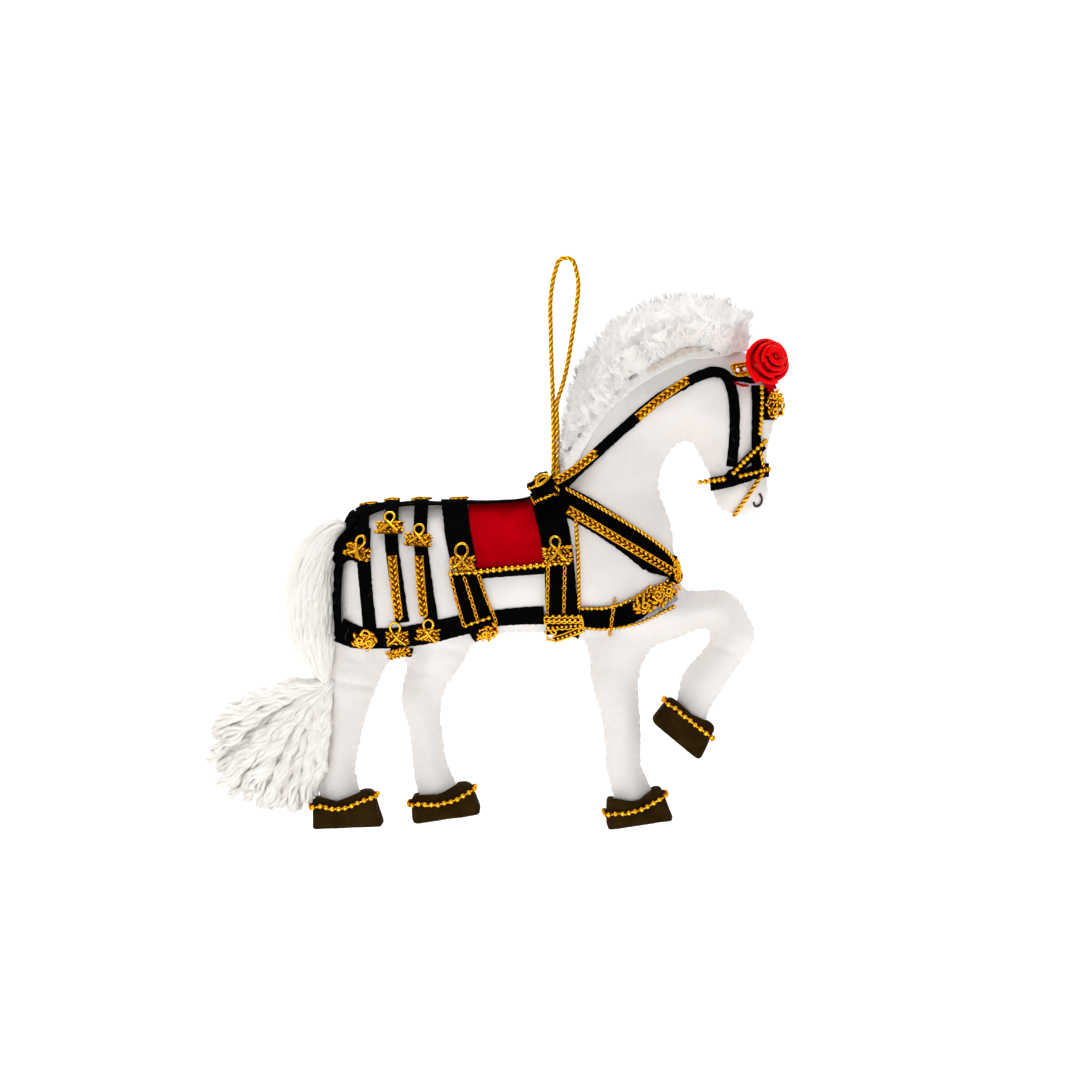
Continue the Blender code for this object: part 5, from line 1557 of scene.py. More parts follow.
@dataclass
class GiltWork:
    """All gilt trims, in the order in which they were fixed.

    Fittings are set on the lines whose names begin as in carriers.
    """

    dressing: Dressing
    carriers: tuple[str, ...] = ("saddle", "panel", "girth", "collar")

    def trims(self) -> list[Trim]:
        """The lines of trim."""
        unit = self.dressing.unit
        made = []
        chains = {
            "hoof_hind_rear": ([(-60, -135.6), (-57.5, -136.3), (-54.2, -136), (-51.4, -134.8)], 180, 20),
            "hoof_hind_front": ([(-35.6, -135), (-33, -135.3), (-30.5, -135), (-26.8, -133.8)], 180, 30),
            "hoof_fore_standing": ([(13, -137.4), (16.5, -137), (19.2, -136.2), (22, -134.6)], 180, 30),
            "hoof_fore_raised": ([(27.4, -111.8), (30.2, -114.2), (32.5, -116.2), (34, -117.2)], 140, -40)}
        for hoof, (places, rear, front) in chains.items():
            name = hoof.replace("hoof", "bead_chain")
            made.append(Trim(name, around(places, rear, front), Twist.BEADS, 1.36 * unit, 1.62 * unit, True,
                             closed=True, reach=0.4 * self.dressing.reach))
        # Name, kind, width and pitch in units, whether a CAD node has this name, and the places along the line
        lines = (
            ("hip_braid_middle", Twist.PLAIT, 2.1, 1.42, True, (-42.8, -73.6), (-42.1, -81), (-41.2, -88.9)),
            ("hip_braid_front", Twist.PLAIT, 2.1, 1.42, True, (-36.2, -73.6), (-35.7, -81), (-35.0, -88.4)),
            ("neck_braid_low", Twist.PLAIT, 1.95, 1.4, True, (-2.8, -55.4), (2, -52.4), (7.2, -48.2)),
            ("neck_braid_high", Twist.PLAIT, 1.95, 1.4, True, (17.5, -39.6), (23.6, -34.6), (29.8, -30.2)),
            ("saddle_bead_chain", Twist.BEADS, 1.42, 1.55, True, (-29, -78.2), (-21.5, -77.7), (-10, -76.5),
             (1, -75.3)),
            ("cheek_chain", Twist.BEADS, 1.2, 1.3, True, (48.3, -31.6), (48.3, -37.5), (47.9, -43.9)),
            ("cheek_chain_low", Twist.ROPE, 0.9, 1.3, False, (48.0, -47.6), (48.4, -49.6), (48.8, -51.6)),
            ("nose_chain_slant", Twist.BEADS, 1.25, 1.25, False, (49.6, -44.8), (45.5, -48.6), (40.9, -53.4)),
            ("nose_chain_rear", Twist.BEADS, 1.35, 1.25, False, (32.8, -55.6), (36.0, -55.2), (39.6, -54.8)),
            ("nose_chain_front", Twist.BEADS, 1.25, 1.25, False, (42.6, -54.2), (46.6, -53.2), (50.8, -52.1)),
            ("rein", Twist.ROPE, 1.15, 1.5, True, (48.8, -53.2), (45.6, -57.9), (41.6, -63.8)),
            ("panel_chain_rear", Twist.LINKS, 1.1, 1.2, False, (-28.3, -79), (-27.0, -84.5), (-25.2, -90.8)),
            ("panel_chain_middle", Twist.LINKS, 1.1, 1.2, False, (-25.0, -79), (-23.5, -83.8), (-21.8, -89.6)),
            ("panel_chain_front", Twist.LINKS, 1.1, 1.2, False, (-21.5, -78.4), (-19.8, -83.5), (-17.6, -89.0),
             (-17.4, -91.6)),
            ("panel_chain_foot", Twist.BEADS, 1.15, 1.35, False, (-25.2, -91.0), (-22.0, -89.8), (-18.6, -88.8)),
            ("girth_chain_rear", Twist.LINKS, 1.1, 1.2, False, (-4.5, -76.4), (-4.6, -82.0), (-4.7, -88.0)),
            ("girth_chain_front", Twist.LINKS, 1.1, 1.2, False, (-0.4, -76.2), (-0.5, -82.0), (-0.6, -88.0)),
            ("girth_rope", Twist.ROPE, 1.05, 1.15, False, (2.3, -64.2), (2.9, -75.0), (3.1, -86.8)),
            ("breast_rope", Twist.ROPE, 1.1, 1.15, False, (-0.2, -56.9), (8.3, -61.8), (17.8, -67.4), (23.6, -71.5),
             (26.2, -74.2), (27.0, -76.2)),
            ("breast_braid", Twist.PLAIT, 2.1, 1.4, False, (0.4, -62.2), (8.5, -67.0), (16.5, -71.8), (24.1, -76.3),
             (26.4, -77.8)),
            ("collar_beads_high", Twist.BEADS, 1.05, 1.25, False, (3.6, -86.6), (9.0, -86.5), (13.0, -85.6),
             (17.0, -83.8), (21, -81)),
            ("collar_beads_low", Twist.BEADS, 1.05, 1.25, False, (4.2, -91.3), (9, -91.7), (14, -91.1), (18, -90.1),
             (21.6, -88.6), (24.7, -87.1), (27, -86.1)),
            ("collar_rope", Twist.LINKS, 1.1, 1.15, False, (11.9, -84.2), (11.3, -88.8), (10.7, -93.2)))
        lowered = {"collar_beads_high": 0.6, "collar_beads_low": 0.6, "collar_rope": 0.7}
        for name, kind, width, pitch, stands_in, *places in lines:
            reach = lowered[name] * self.dressing.reach if name in lowered else None
            made.append(Trim(name, side(places), kind, width * unit, pitch * unit, stands_in, reach=reach))
        ridges = {"rear": [(-51.4, -70), (-47.4, -70)], "middle": [(-45.2, -69), (-41.8, -69)],
                  "front": [(-38.5, -69), (-34, -69)], "saddle": [(-29, -69), (-24.7, -69)]}
        for where, places in ridges.items():
            made.append(Trim("ridge_cord_" + where, leaning(places, 90, 90), Twist.PLAIT, 1.4 * unit, 1.2 * unit,
                             lift=0.2 * unit))
        return made

    def fittings(self) -> list[Fitting]:
        """The buckles, slides, clasps and clusters."""
        breast_curls = (((-3.9, -0.5), 1.2, 200, 1.4), ((0.6, 0.3), 1.5, 20, -1.4), ((3.6, -0.2), 1.1, 160, 1.5))
        breast_beads = tuple((-4.9 + 1.05 * i, 2.1 + 0.12 * (i % 2)) for i in range(10))
        brooch_curls = (((-0.6, -1.9), 1.1, 250, 1.35), ((0.9, 0.8), 0.9, 200, -1.2), ((-0.8, 1.9), 0.9, 20, 1.2))
        slide_curls = (((-1.2, 0.3), 0.95, 180, 1.3), ((1.1, -0.2), 1.0, 0, -1.3))
        return [
            Buckle("buckle_hip_rear", (-51.2, -72.7), (7.0, 3.7), -20),
            Buckle("buckle_hip_middle", (-43.5, -66.8), (7.0, 3.8)),
            Buckle("buckle_hip_front", (-36.4, -69.9), (6.8, 3.8), -5),
            Buckle("buckle_saddle_rear", (-25.5, -75.5), (6.2, 4.0), ring=1.55),
            Buckle("buckle_saddle_front", (-2.2, -73.4), (7.1, 4.6), 6),
            Cluster("buckle_breeching_rear", (-49.6, -94.4), (5.4, 4.6), scale=1.15,
                    curls=slide_curls + (((0.1, 1.9), 1.3, -60, 0.8),)),
            Buckle("buckle_breeching_middle", (-41.6, -93.8), (5.4, 3.9), 4, ring=1.25),
            Buckle("buckle_breeching_front", (-34, -92.9), (5.6, 3.6), -6, ring=1.2),
            Cluster("slide_belly_rear", (-19.6, -92.4), (5.8, 4.4), 16, scale=1.12, curls=slide_curls),
            Buckle("slide_hock", (-41.4, -97.4), (5.9, 2.7), 18, ring=0.0),
            GirthClasp("girth_clasp", (-0.6, -90.0), (9.2, 4.6)),
            Cluster("breast_ornament", (20.2, -84.0), (14.6, 5.2), 24, tilt=12, leaves=70, curls=breast_curls,
                    beads=breast_beads, scale=1.06),
            Cluster("breast_tangle", (25.0, -77.6), (3.2, 6.6), tilt=44, stands_in=False, leaves=26),
            Cluster("forehead_brooch", (51.6, -36.0), (5.8, 8.0), tilt=4, leaves=40, curls=brooch_curls),
            PollClasp("poll_clasp", (43.2, -27.8), (5.2, 3.5), 10)]

    def dress(self) -> None:
        """Lay the lines, then set the fittings over them."""
        laid = [trim.lay(self.dressing) for trim in self.trims()]
        self.dressing.add(*[obj for obj in laid if obj.name.startswith(self.carriers)])
        for fitting in self.fittings():
            self.dressing.add(fitting.set_on(self.dressing))


@dataclass
class HangingLoop:
    """A gold cord, doubled and sewn to the withers."""

    dressing: Dressing
    diameter: float = 1.1 * MM
    gap: float = -0.12 * MM
    top: float = 2.4 * MM
    lay_length: float = 4.5 * MM
    foot: float = -54.3 * MM

    def route(self) -> np.ndarray:
        """The cord's own points: up one leg, round the top and down the other, both before the mane."""
        lean, rise, top = 0.5 * (self.diameter + self.gap), 0.5 * self.diameter, self.top
        leg = ((-0.0027, self.foot), (-0.0026, -0.0500), (-0.0026, -0.0450), (-0.0027, -0.0400), (-0.0028, -0.0360))
        rear = [(x - lean, 0.0, z) for x, z in leg]
        rear += [(-0.0034, 0, -0.0310), (-0.0036, 0, -0.0260), (-0.0038, 0, -0.0180), (-0.0039, 0, -0.0110),
                 (-0.0034, 0, -0.0060), (-top, 0, rise - top)]
        crown = [(top * math.cos(a), 0, rise - top + top * math.sin(a)) for a in (2.3, math.pi / 2, 0.85)]
        front = [(top, 0, rise - top), (0.0031, 0, -0.0060), (0.0027, 0, -0.0110), (0.0017, 0, -0.0180),
                 (0.0004, 0, -0.0260), (-0.0008, 0, -0.0310)] + [(x + lean, 0.0, z) for x, z in leg[::-1]]
        points = np.array(rear + crown + front)
        low = points[:, 2] < -0.0300
        heights = np.array([self.dressing.height(p, TO_VIEWER, self.dressing.reach) + 0.45 * self.diameter
                            for p in points[low]])
        points[low, 1] = -heights
        return points

    def strands(self, gathered: Gathering, line: np.ndarray) -> None:
        """Three strands laid up round each other."""
        along = lengths_along(line)
        # The grooves between the strands get painted shade, the crests painted highlights
        gathered.sweep(line, lobed_profile(3, 0.38, 6), 0.57 * self.diameter,
                       turns=2 * math.pi * along / self.lay_length, hollow=0.6)

    def build(self) -> bpy.types.Object:
        """The cord."""
        line = smooth_line(self.route(), 0.2 * MM)
        gathered = Gathering()
        self.strands(gathered, line)
        obj = gathered.piece("hanging_cord", GOLD_CORD, "gold_cord", ("hanging_loop",))
        return obj


@dataclass
class BowRing(Fitting):
    """A wire bent to a pointed ring, with its tail."""

    def model(self, gathered: Gathering) -> None:
        """Two turns of wire and the tail below them."""
        outer = [(-2.6, 0.0), (-1.6, 0.75), (-0.6, 1.6), (0.2, 1.8), (1.4, 1.5), (1.75, 0.95), (1.0, -0.15),
                 (0.2, -0.95), (-1.0, -1.7), (-1.3, -1.2), (-1.45, 0.0), (-1.2, 0.8)]
        self.wire(gathered, outer, 0.28, 0.3)
        inner = [(-1.0, -0.8), (-0.95, 0.2), (-0.5, 0.8), (0.4, 1.2), (1.15, 0.9), (0.6, 0.1), (-0.3, -0.7)]
        self.wire(gathered, inner, 0.2, 0.15, closed=True)
        self.wire(gathered, [(-1.2, -1.6), (-1.9, -1.9), (-2.6, -2.2), (-3.3, -2.5)], 0.24, 0.25)
        self.dots(gathered, [(-2.9, -2.3), (-1.7, -1.8)], 0.36, 0.3)


@dataclass
class WithersBow:
    """The knot of black ribbon that holds the loop, with a wire ring and bead threads on it."""

    dressing: Dressing
    left: float = -10.0
    right: float = -1.4
    low: float = -61.0
    top: float = -52.6

    def knot(self) -> bpy.types.Object:
        """The knot, drawn together from its CAD form and creased."""
        knot = merged_copy(bpy.data.objects["withers_bow"], "knot")
        work(knot, "REMESH", mode="VOXEL", voxel_size=0.35 * MM)
        work(knot, "SMOOTH", factor=0.5, iterations=8)
        points, unit = corners_of(knot), self.dressing.unit
        least, most = points.min(axis=0), points.max(axis=0)
        wanted = (np.array([self.left, self.low]) * unit, np.array([self.right, self.top]) * unit)
        share = (points[:, [0, 2]] - least[[0, 2]]) / (most - least)[[0, 2]]
        points[:, [0, 2]] = wanted[0] + share * (wanted[1] - wanted[0])
        move_corners(knot, points)
        points, normals = corners_of(knot), normals_of(knot)
        creased = np.array([noise.noise(Vector((p[0] * 1.1 + p[2] * 0.6, p[1] * 0.5, p[2] * 0.45)) / (1.5 * MM))
                            - 0.7 * abs(noise.noise(Vector((p[0] * 0.5 - p[2], p[1] * 0.6, p[0] * 0.4)) / (2.1 * MM)))
                            for p in points])
        move_corners(knot, points + normals * (0.5 * MM * creased)[:, None])
        knot.data.shade_smooth()
        return dressed(knot, VELVET, ("withers_bow",))

    def dress(self) -> None:
        """The knot, and the gilt on it."""
        self.dressing.add(self.knot())
        for trim in (Trim("bow_thread_low", side([(-8.1, -60.6), (-6.2, -59.7), (-4.6, -59.1), (-3.3, -58.5),
                                                  (-2.1, -58.6)]), Twist.BEADS, 0.95 * MM, 1.1 * MM),
                     Trim("bow_thread_end", side([(-8.6, -59.0), (-8.2, -60.0), (-7.7, -61.0)]), Twist.ROPE,
                          0.7 * MM, 1.0 * MM),
                     Trim("bow_thread_high", side([(-2.1, -58.6), (-1.8, -57.6), (-2.8, -56.4)]), Twist.ROPE,
                          0.7 * MM, 1.0 * MM)):
            trim.lay(self.dressing)
        BowRing("bow_ring", (-5.8, -55.3), (3.0, 3.0), stands_in=False, lift=0.15).set_on(self.dressing)


def sampled(points: np.ndarray, triangles: np.ndarray, count: int, rng: np.random.Generator
            ) -> tuple[np.ndarray, np.ndarray]:
    """Random places on triangles, evenly by area, and which triangle each is on."""
    a, b, c = (points[triangles[:, k]] for k in range(3))
    area = np.linalg.norm(np.cross(b - a, c - a), axis=1)
    picked = rng.choice(len(triangles), count, p=area / area.sum())
    u, v = rng.random(count), rng.random(count)
    flip = u + v > 1
    u[flip], v[flip] = 1 - u[flip], 1 - v[flip]
    return a[picked] + u[:, None] * (b - a)[picked] + v[:, None] * (c - a)[picked], picked


@dataclass
class PlushMane:
    """A strip of long plush on a woven backing, sewn along the crest."""

    dressing: Dressing
    hairs: int = 4400
    length: float = 2.8 * MM
    band: float = 7.0 * MM
    sewn: tuple = ((44.5, -26.6), (41.5, -25.6), (38.8, -24.4), (35.5, -23.0), (32, -22.6), (27.5, -24.2),
                   (23.3, -26.6), (16.2, -30.4), (11.8, -35.6), (6.6, -40.8), (2.8, -45.6), (0.4, -49.4),
                   (-1.6, -53.4), (-2.8, -56.4))

    def crest(self) -> tuple[np.ndarray, np.ndarray, KDTree]:
        """The line where the plush is sewn on, the way up from it at each point, and a finder for its points."""
        line = seam_line(self.sewn, 0.4 * MM)
        ahead = unit_rows(np.gradient(line, axis=0))
        square = np.stack([ahead[:, 2], 0 * ahead[:, 0], -ahead[:, 0]], axis=1)
        for _ in range(30):
            square[1:-1] = (square[:-2] + square[1:-1] + square[2:]) / 3
        return line, unit_rows(square), finder(line)

    def combed(self, points: np.ndarray) -> tuple[np.ndarray, np.ndarray]:
        """How far each point is above the sewn line, and the way in which its pile lies there."""
        line, square, tree = self.crest()
        near = np.array([tree.find((p[0], 0, p[2]))[1] for p in points])
        span = points * [1, 0, 1] - line[near]
        away = np.linalg.norm(span, axis=1) * np.where((span * square[near]).sum(axis=1) < 0, -1, 1)
        share = np.clip(away / (9 * MM), 0, 1)[:, None]
        return away, unit_rows(square[near] * (1 - 0.5 * share) + unit_rows(span) * 0.5 * share)

    def form(self) -> bpy.types.Object:
        """The mane's own form, drawn in below the sewn line and lying over the neck above it."""
        obj = merged_copy(bpy.data.objects["mane"], "mane_undercoat")
        work(obj, "REMESH", mode="VOXEL", voxel_size=0.4 * MM)
        work(obj, "SMOOTH", factor=0.5, iterations=8)
        points, normals = corners_of(obj), normals_of(obj)
        drop = np.clip(-42 * MM - points[:, 2], 0, None)
        points += drop[:, None] * [-0.55, 0.0, -1.0]
        line, square, tree = self.crest()
        near = np.array([tree.find((p[0], 0, p[2]))[1] for p in points])
        away, _ = self.combed(points)
        edge = np.full(len(line), self.band)
        np.minimum.at(edge, near, away)
        beside, smoothed = 8, 10
        window = 2 * smoothed + 1
        edge = np.array([edge[max(0, i - beside):i + beside + 1].min() for i in range(len(edge))])
        edge = np.convolve(np.pad(edge, smoothed, mode="edge"), np.ones(window) / window, mode="valid")[near]
        drawn = (away - edge) / (self.band - edge) * (self.band + 0.3 * MM) - 0.3 * MM
        drawn = np.where(away < self.band, np.minimum(drawn, away), away)
        points += square[near] * (drawn - away)[:, None]
        for i in np.flatnonzero((away < self.band) | (np.abs(normals[:, 1]) > 0.2)):
            hand = 1.0 if points[i, 1] > 0 else -1.0
            toward = np.array([0.0, hand, 0.0])
            neck = self.dressing.height(points[i] * [1, 0, 1], toward, self.dressing.reach)
            foot = self.dressing.height(line[near[i]], toward, self.dressing.reach)
            share = np.clip(drawn[i] / self.band, 0, 1) ** 2
            rise = np.interp(drawn[i], [-0.3 * MM, 0.6 * MM, 3.0 * MM], [-0.9 * MM, 0.1 * MM, 0.7 * MM])
            high = max(abs(points[i, 1]), neck + 0.6 * MM if neck > 0 else 0)
            if foot > 0 and normals[i, 1] * hand > -0.3:
                points[i, 1] = hand * ((1 - share) * (foot + rise) + share * high)
        move_corners(obj, points)
        work(obj, "REMESH", mode="VOXEL", voxel_size=0.42 * MM)
        work(obj, "SMOOTH", factor=0.5, iterations=10)
        return obj

    def base(self) -> bpy.types.Object:
        """The matted pile, with clumps that run the way the pile lies."""
        obj = self.form()
        points, normals = corners_of(obj), normals_of(obj)
        away, outward = self.combed(points)
        across = unit_rows(np.cross(outward, [0.0, 1.0, 0.0]))
        u = (points * outward).sum(axis=1)
        v = (points * across).sum(axis=1)
        clumps = np.array([noise.noise(Vector((a / (4.2 * MM), b / (1.2 * MM), c / (3 * MM))))
                           + 0.6 * noise.noise(Vector((a / (2.0 * MM) + 7, b / (0.6 * MM), c / (2 * MM))))
                           for a, b, c in zip(u, v, points[:, 1])])
        lumps = np.array([noise.noise(Vector(p) / (5.5 * MM)) for p in points])
        grown = np.clip(away / (1.2 * MM), 0, 1)
        depth = (-0.3 * MM + 0.12 * MM * clumps + 0.26 * MM * lumps) * grown
        move_corners(obj, points + normals * depth[:, None])
        obj.data.shade_smooth()
        return obj

    def fur(self, base: bpy.types.Object, hand: int, name: str) -> bpy.types.Object:
        """Hair on one side: it lies along the clumps, and stands off at the outline."""
        rng = np.random.default_rng(SEED + 3 * hand)
        base.data.calc_loop_triangles()
        triangles = np.array([t.vertices[:] for t in base.data.loop_triangles])
        points, normals = corners_of(base), normals_of(base)
        centres = points[triangles].mean(axis=1)
        above, _ = self.combed(centres)
        triangles = triangles[(centres[:, 1] * hand > -0.4 * MM) & (above > -0.2 * MM)]
        roots, picked = sampled(points, triangles, self.hairs, rng)
        ways = unit_rows(normals[triangles[picked]].mean(axis=1))
        toward = np.array([0.0, hand, 0.0])
        away, outward = self.combed(roots)
        tuft_roots, _ = sampled(points, triangles, self.hairs // 14, rng)
        tufts = finder(tuft_roots)
        tuft = np.array([tufts.find(p)[1] for p in roots])
        wander = rng.normal(0, 0.22, (len(tuft_roots), 3))
        flat = outward - ways * (outward * ways).sum(axis=1)[:, None]
        lift = rng.uniform(0.15, 0.4, len(tuft_roots))[tuft][:, None]
        lean = unit_rows(flat + lift * ways + 0.25 * outward + wander[tuft] + rng.normal(0, 0.12, roots.shape))
        lengths = self.length * rng.uniform(0.6, 1.15, len(roots)) * (0.7 + 0.3 * np.clip(away / (7 * MM), 0, 1))
        hair = Template.hair()
        across = unit_rows(np.cross(lean, rng.normal(0, 1, roots.shape)))
        frames = np.stack([lean, across, np.cross(lean, across)], axis=1)
        thick = rng.uniform(0.035, 0.055, len(roots)) * MM
        sizes = np.stack([lengths, thick, thick], axis=1)
        gathered = Gathering()
        tone = np.clip(rng.normal(0.15, 0.1, len(tuft_roots)), 0, 1)[tuft] + rng.uniform(0, 0.12, len(roots))
        gathered.copies(hair, roots - ways * 0.05 * MM, frames, sizes, tone)
        share = np.tile(hair.points[:, 0] ** 2, len(roots))
        bend = rng.normal(0, 0.15, (len(roots), 3)) + 0.1 * outward
        bend = np.repeat(bend * lengths[:, None], len(hair.points), axis=0)
        gathered.points[0] = gathered.points[0] + bend * share[:, None]
        lit = unit_rows(0.35 * ways + 0.45 * toward + 0.4 * outward + rng.normal(0, 0.05, roots.shape))
        return gathered.piece(name, PLUSH, "plush", facing=np.repeat(lit, len(hair.points), axis=0))

    def tape(self) -> bpy.types.Object:
        """The backing's selvedge, which shows below the pile, with its stitches."""
        shown = side([(34, -22.4), (30.6, -22.7), (27.5, -23.8), (23.3, -26.2), (20.0, -28.0)])
        obj = Ribbon("mane_selvedge", shown, 1.3 * MM, 0.25 * MM, finish=PLUSH_TAPE, slot="plush", frayed=0.12 * MM)
        piece = obj.lay_free(self.dressing)
        track = self.dressing.track(side([(x + 0.1, z - 0.2) for x, z in self.sewn[3:-1]]), 0.3 * MM)
        gathered = Gathering()
        rng = np.random.default_rng(SEED)
        for spot in np.arange(1.5 * MM, track.length - 1.5 * MM, 1.9 * MM):
            there = track.at(np.array([spot, spot + 0.4 * MM]))
            low, high = there.points[0], there.points[1]
            across, facing = there.across[0], there.facing[0]
            hand = 1.0 if across[2] < 0 else -1.0
            points = [low + hand * across * 1.15 * MM, low + hand * across * 0.7 * MM + facing * 0.45 * MM,
                      high + facing * 0.5 * MM, high - hand * across * 0.6 * MM + facing * 0.3 * MM]
            gathered.sweep(smooth_line(points, 0.25 * MM), ring_profile(5), 0.11 * MM, tone=rng.uniform(0, 0.5))
        gathered.piece("mane_stitches", THREAD)
        return piece

    def dress(self) -> None:
        """The tape, the undercoat and the fur."""
        self.tape()
        base = self.base()
        self.fur(base, -1, "mane_fur_near")
        self.fur(base, 1, "mane_fur_far")
        dressed(base, PLUSH_BASE, ("mane",))
        self.dressing.add(base)


@dataclass
class YarnTail:
    """A hank of loosely spun yarn, tied at the hocks, with its cut ends below."""

    dressing: Dressing
    tie: Place = (-59.3, -106.4)
    outer: tuple = ((-55.2, -65.8), (-58.2, -64.6), (-62.6, -66.8), (-66.6, -71.0), (-69.0, -77.2), (-69.9, -85.5),
                    (-69.8, -91.2), (-68.1, -97.3), (-65.2, -101.3), (-61.6, -105.0), (-60.9, -106.4))
    inner: tuple = ((-55.2, -67.6), (-56.6, -71.5), (-57.8, -76.2), (-58.3, -80), (-58.2, -85.5), (-57.8, -91),
                    (-57.6, -94.5), (-58.1, -100.5), (-58.6, -104.5), (-58.6, -106.8))
    ends: tuple = ((-81, -109.8), (-87, -114.4), (-89.4, -118.6), (-88.4, -123), (-89.0, -127), (-86.6, -131.8),
                   (-82.6, -133.8), (-79, -136.2), (-74.5, -138.6), (-70, -138), (-66, -136.8), (-63, -134.5),
                   (-61.0, -127), (-60.4, -120))
    depth: float = 10.2
    yarns: int = 25
    locks: int = 104

    def bundle(self, gathered: Gathering, line: np.ndarray, radius: np.ndarray, fibres: int, lay: float,
               rng: np.random.Generator, spread: np.ndarray | None = None, sides: int = 5) -> None:
        """Fibres that twist round each other along a line.

        Args:
            gathered: Where the fibres go.
            line: The middle of the bundle.
            radius: The bundle's radius at each point.
            fibres: How many strands it is modelled with.
            lay: The length of one turn of the twist.
            rng: The source of its irregularity.
            spread: How much wider than the bundle the fibres stand at each point.
            sides: The number of sides of a fibre's section.
        """
        across, normal = carried_frames(line)
        along = lengths_along(line)
        spread = np.ones(len(line)) if spread is None else spread
        profile = ring_profile(sides)
        start = rng.uniform(0, 2 * math.pi)
        for k in range(fibres):
            angle = start + 2 * math.pi * k / fibres + 2 * math.pi * along / lay
            angle = angle + rng.normal(0, 0.25) + 0.35 * np.sin(along / (2.1 * MM) + rng.uniform(0, 6))
            away = 0.56 * radius * spread * rng.uniform(0.86, 1.12)
            middle = line + away[:, None] * (np.cos(angle)[:, None] * across + np.sin(angle)[:, None] * normal)
            thick = 1.32 * radius / math.sqrt(fibres) * rng.uniform(0.85, 1.12)
            gathered.sweep(middle, profile, thick, tone=rng.uniform(0, 0.75))

    @staticmethod
    def shared_out(line: np.ndarray, shares: np.ndarray) -> np.ndarray:
        """The places at these shares of a line's length."""
        along = lengths_along(line)
        return np.stack([np.interp(shares * along[-1], along, line[:, k]) for k in range(3)], axis=1)

    def hank(self, gathered: Gathering, rng: np.random.Generator) -> None:
        """The doubled yarns from the dock to the tie, bulging in between."""
        shares = np.linspace(0, 1, 46)
        left, right = (self.shared_out(seam_line(edge, 1.0 * MM), shares) for edge in (self.outer, self.inner))
        middle, span = (left + right) / 2, (right - left) / 2
        half = np.linalg.norm(span, axis=1)
        fullness = np.interp(shares, [0, 0.12, 0.35, 0.7, 0.92, 1], [0.35, 0.75, 1, 0.95, 0.5, 0.3])
        deep = 0.5 * self.depth * MM * fullness
        unit = unit_rows(span)
        for ring, count in ((1.0, self.yarns), (0.52, 11)):
            for k in range(count):
                angle = 2 * math.pi * (k + rng.uniform(-0.12, 0.12)) / count
                perimeter = math.pi * (half + deep)
                radius = np.clip(1.25 * perimeter / count / 2, 0.45 * MM, 0.92 * MM) * rng.uniform(0.9, 1.1)
                a = np.maximum(half - 0.8 * radius, 0.2 * MM) * ring
                b = np.maximum(deep - 0.8 * radius, 0.2 * MM) * ring
                wave = 0.22 * MM * np.sin(shares * 19 + rng.uniform(0, 6))
                turn = angle + 0.5 * (shares - 0.5) * rng.normal(0.1, 0.25)
                line = middle + unit * ((a + wave) * np.cos(turn))[:, None]
                line = line + np.array([0.0, 1.0, 0.0]) * ((b + wave) * np.sin(turn))[:, None]
                self.bundle(gathered, line, radius, 4 if ring == 1.0 else 3, rng.uniform(9, 14) * MM, rng)

    def tassel(self, gathered: Gathering, rng: np.random.Generator) -> list[tuple[np.ndarray, np.ndarray]]:
        """The cut ends, which fan out from the tie in crimped locks.

        Returns:
            The end and the direction of every lock.
        """
        fan = seam_line(self.ends, 0.5 * MM)
        tie = np.array([self.tie[0] * MM, 0.0, self.tie[1] * MM])
        finished = []
        shares = np.linspace(0, 1, 30)
        for k in range(self.locks):
            place = (k + rng.uniform(0.1, 0.9)) / self.locks
            end = fan[int(place * (len(fan) - 1))] + rng.normal(0, 0.7, 3) * MM
            layer = rng.uniform(-1, 1)
            end = tie + (end - tie) * rng.uniform(0.86, 0.99) * [1, 0, 1]
            end[1] = layer * 2.9 * MM
            start = tie + np.array([rng.normal(0, 0.45), 0.9 * layer, rng.normal(0, 0.4)]) * MM
            run = end - start
            square = unit_rows(np.array([run[2], 0, -run[0]])[None])[0]
            square *= 1.0 if square[0] < 0 or place < 0.3 and square[2] > 0 else -1.0
            bulge = np.interp(place, [0, 0.5, 0.85, 1], [4.6, 3.8, 2.0, 0.6]) * rng.uniform(0.7, 1.25) * MM
            knee = start + 0.42 * run + square * bulge + np.array([0, layer * 1.6 * MM, 0])
            t = shares[:, None]
            line = start * (1 - t) ** 2 + 2 * knee * t * (1 - t) + end * t**2
            ahead = unit_rows(np.gradient(line, axis=0))
            beside = unit_rows(np.cross(ahead, (0.0, 1.0, 0.0)))
            length = np.linalg.norm(run)
            grown = np.clip(shares * 2.2, 0, 1)
            waves = rng.uniform(5.5, 8.5) * MM
            phase = rng.uniform(0, 6)
            line = line + beside * (0.4 * MM * grown * np.sin(2 * math.pi * shares * length / waves + phase))[:, None]
            line = line + [0, 1, 0] * (0.3 * MM * grown * np.sin(2.6 * math.pi * shares * length / waves))[:, None]
            radius = np.interp(shares, [0, 0.15, 0.5, 0.85, 1.0], [0.5, 0.75, 1.1, 1.2, 0.9]) * MM
            spread = np.interp(shares, [0, 0.6, 1.0], [0.9, 1.05, 1.6])
            self.bundle(gathered, line, radius * rng.uniform(0.85, 1.15), 6, rng.uniform(11, 17) * MM, rng, spread)
            finished.append((line[-1], ahead[-1]))
            finished.append((line[-4], ahead[-4]))
        return finished

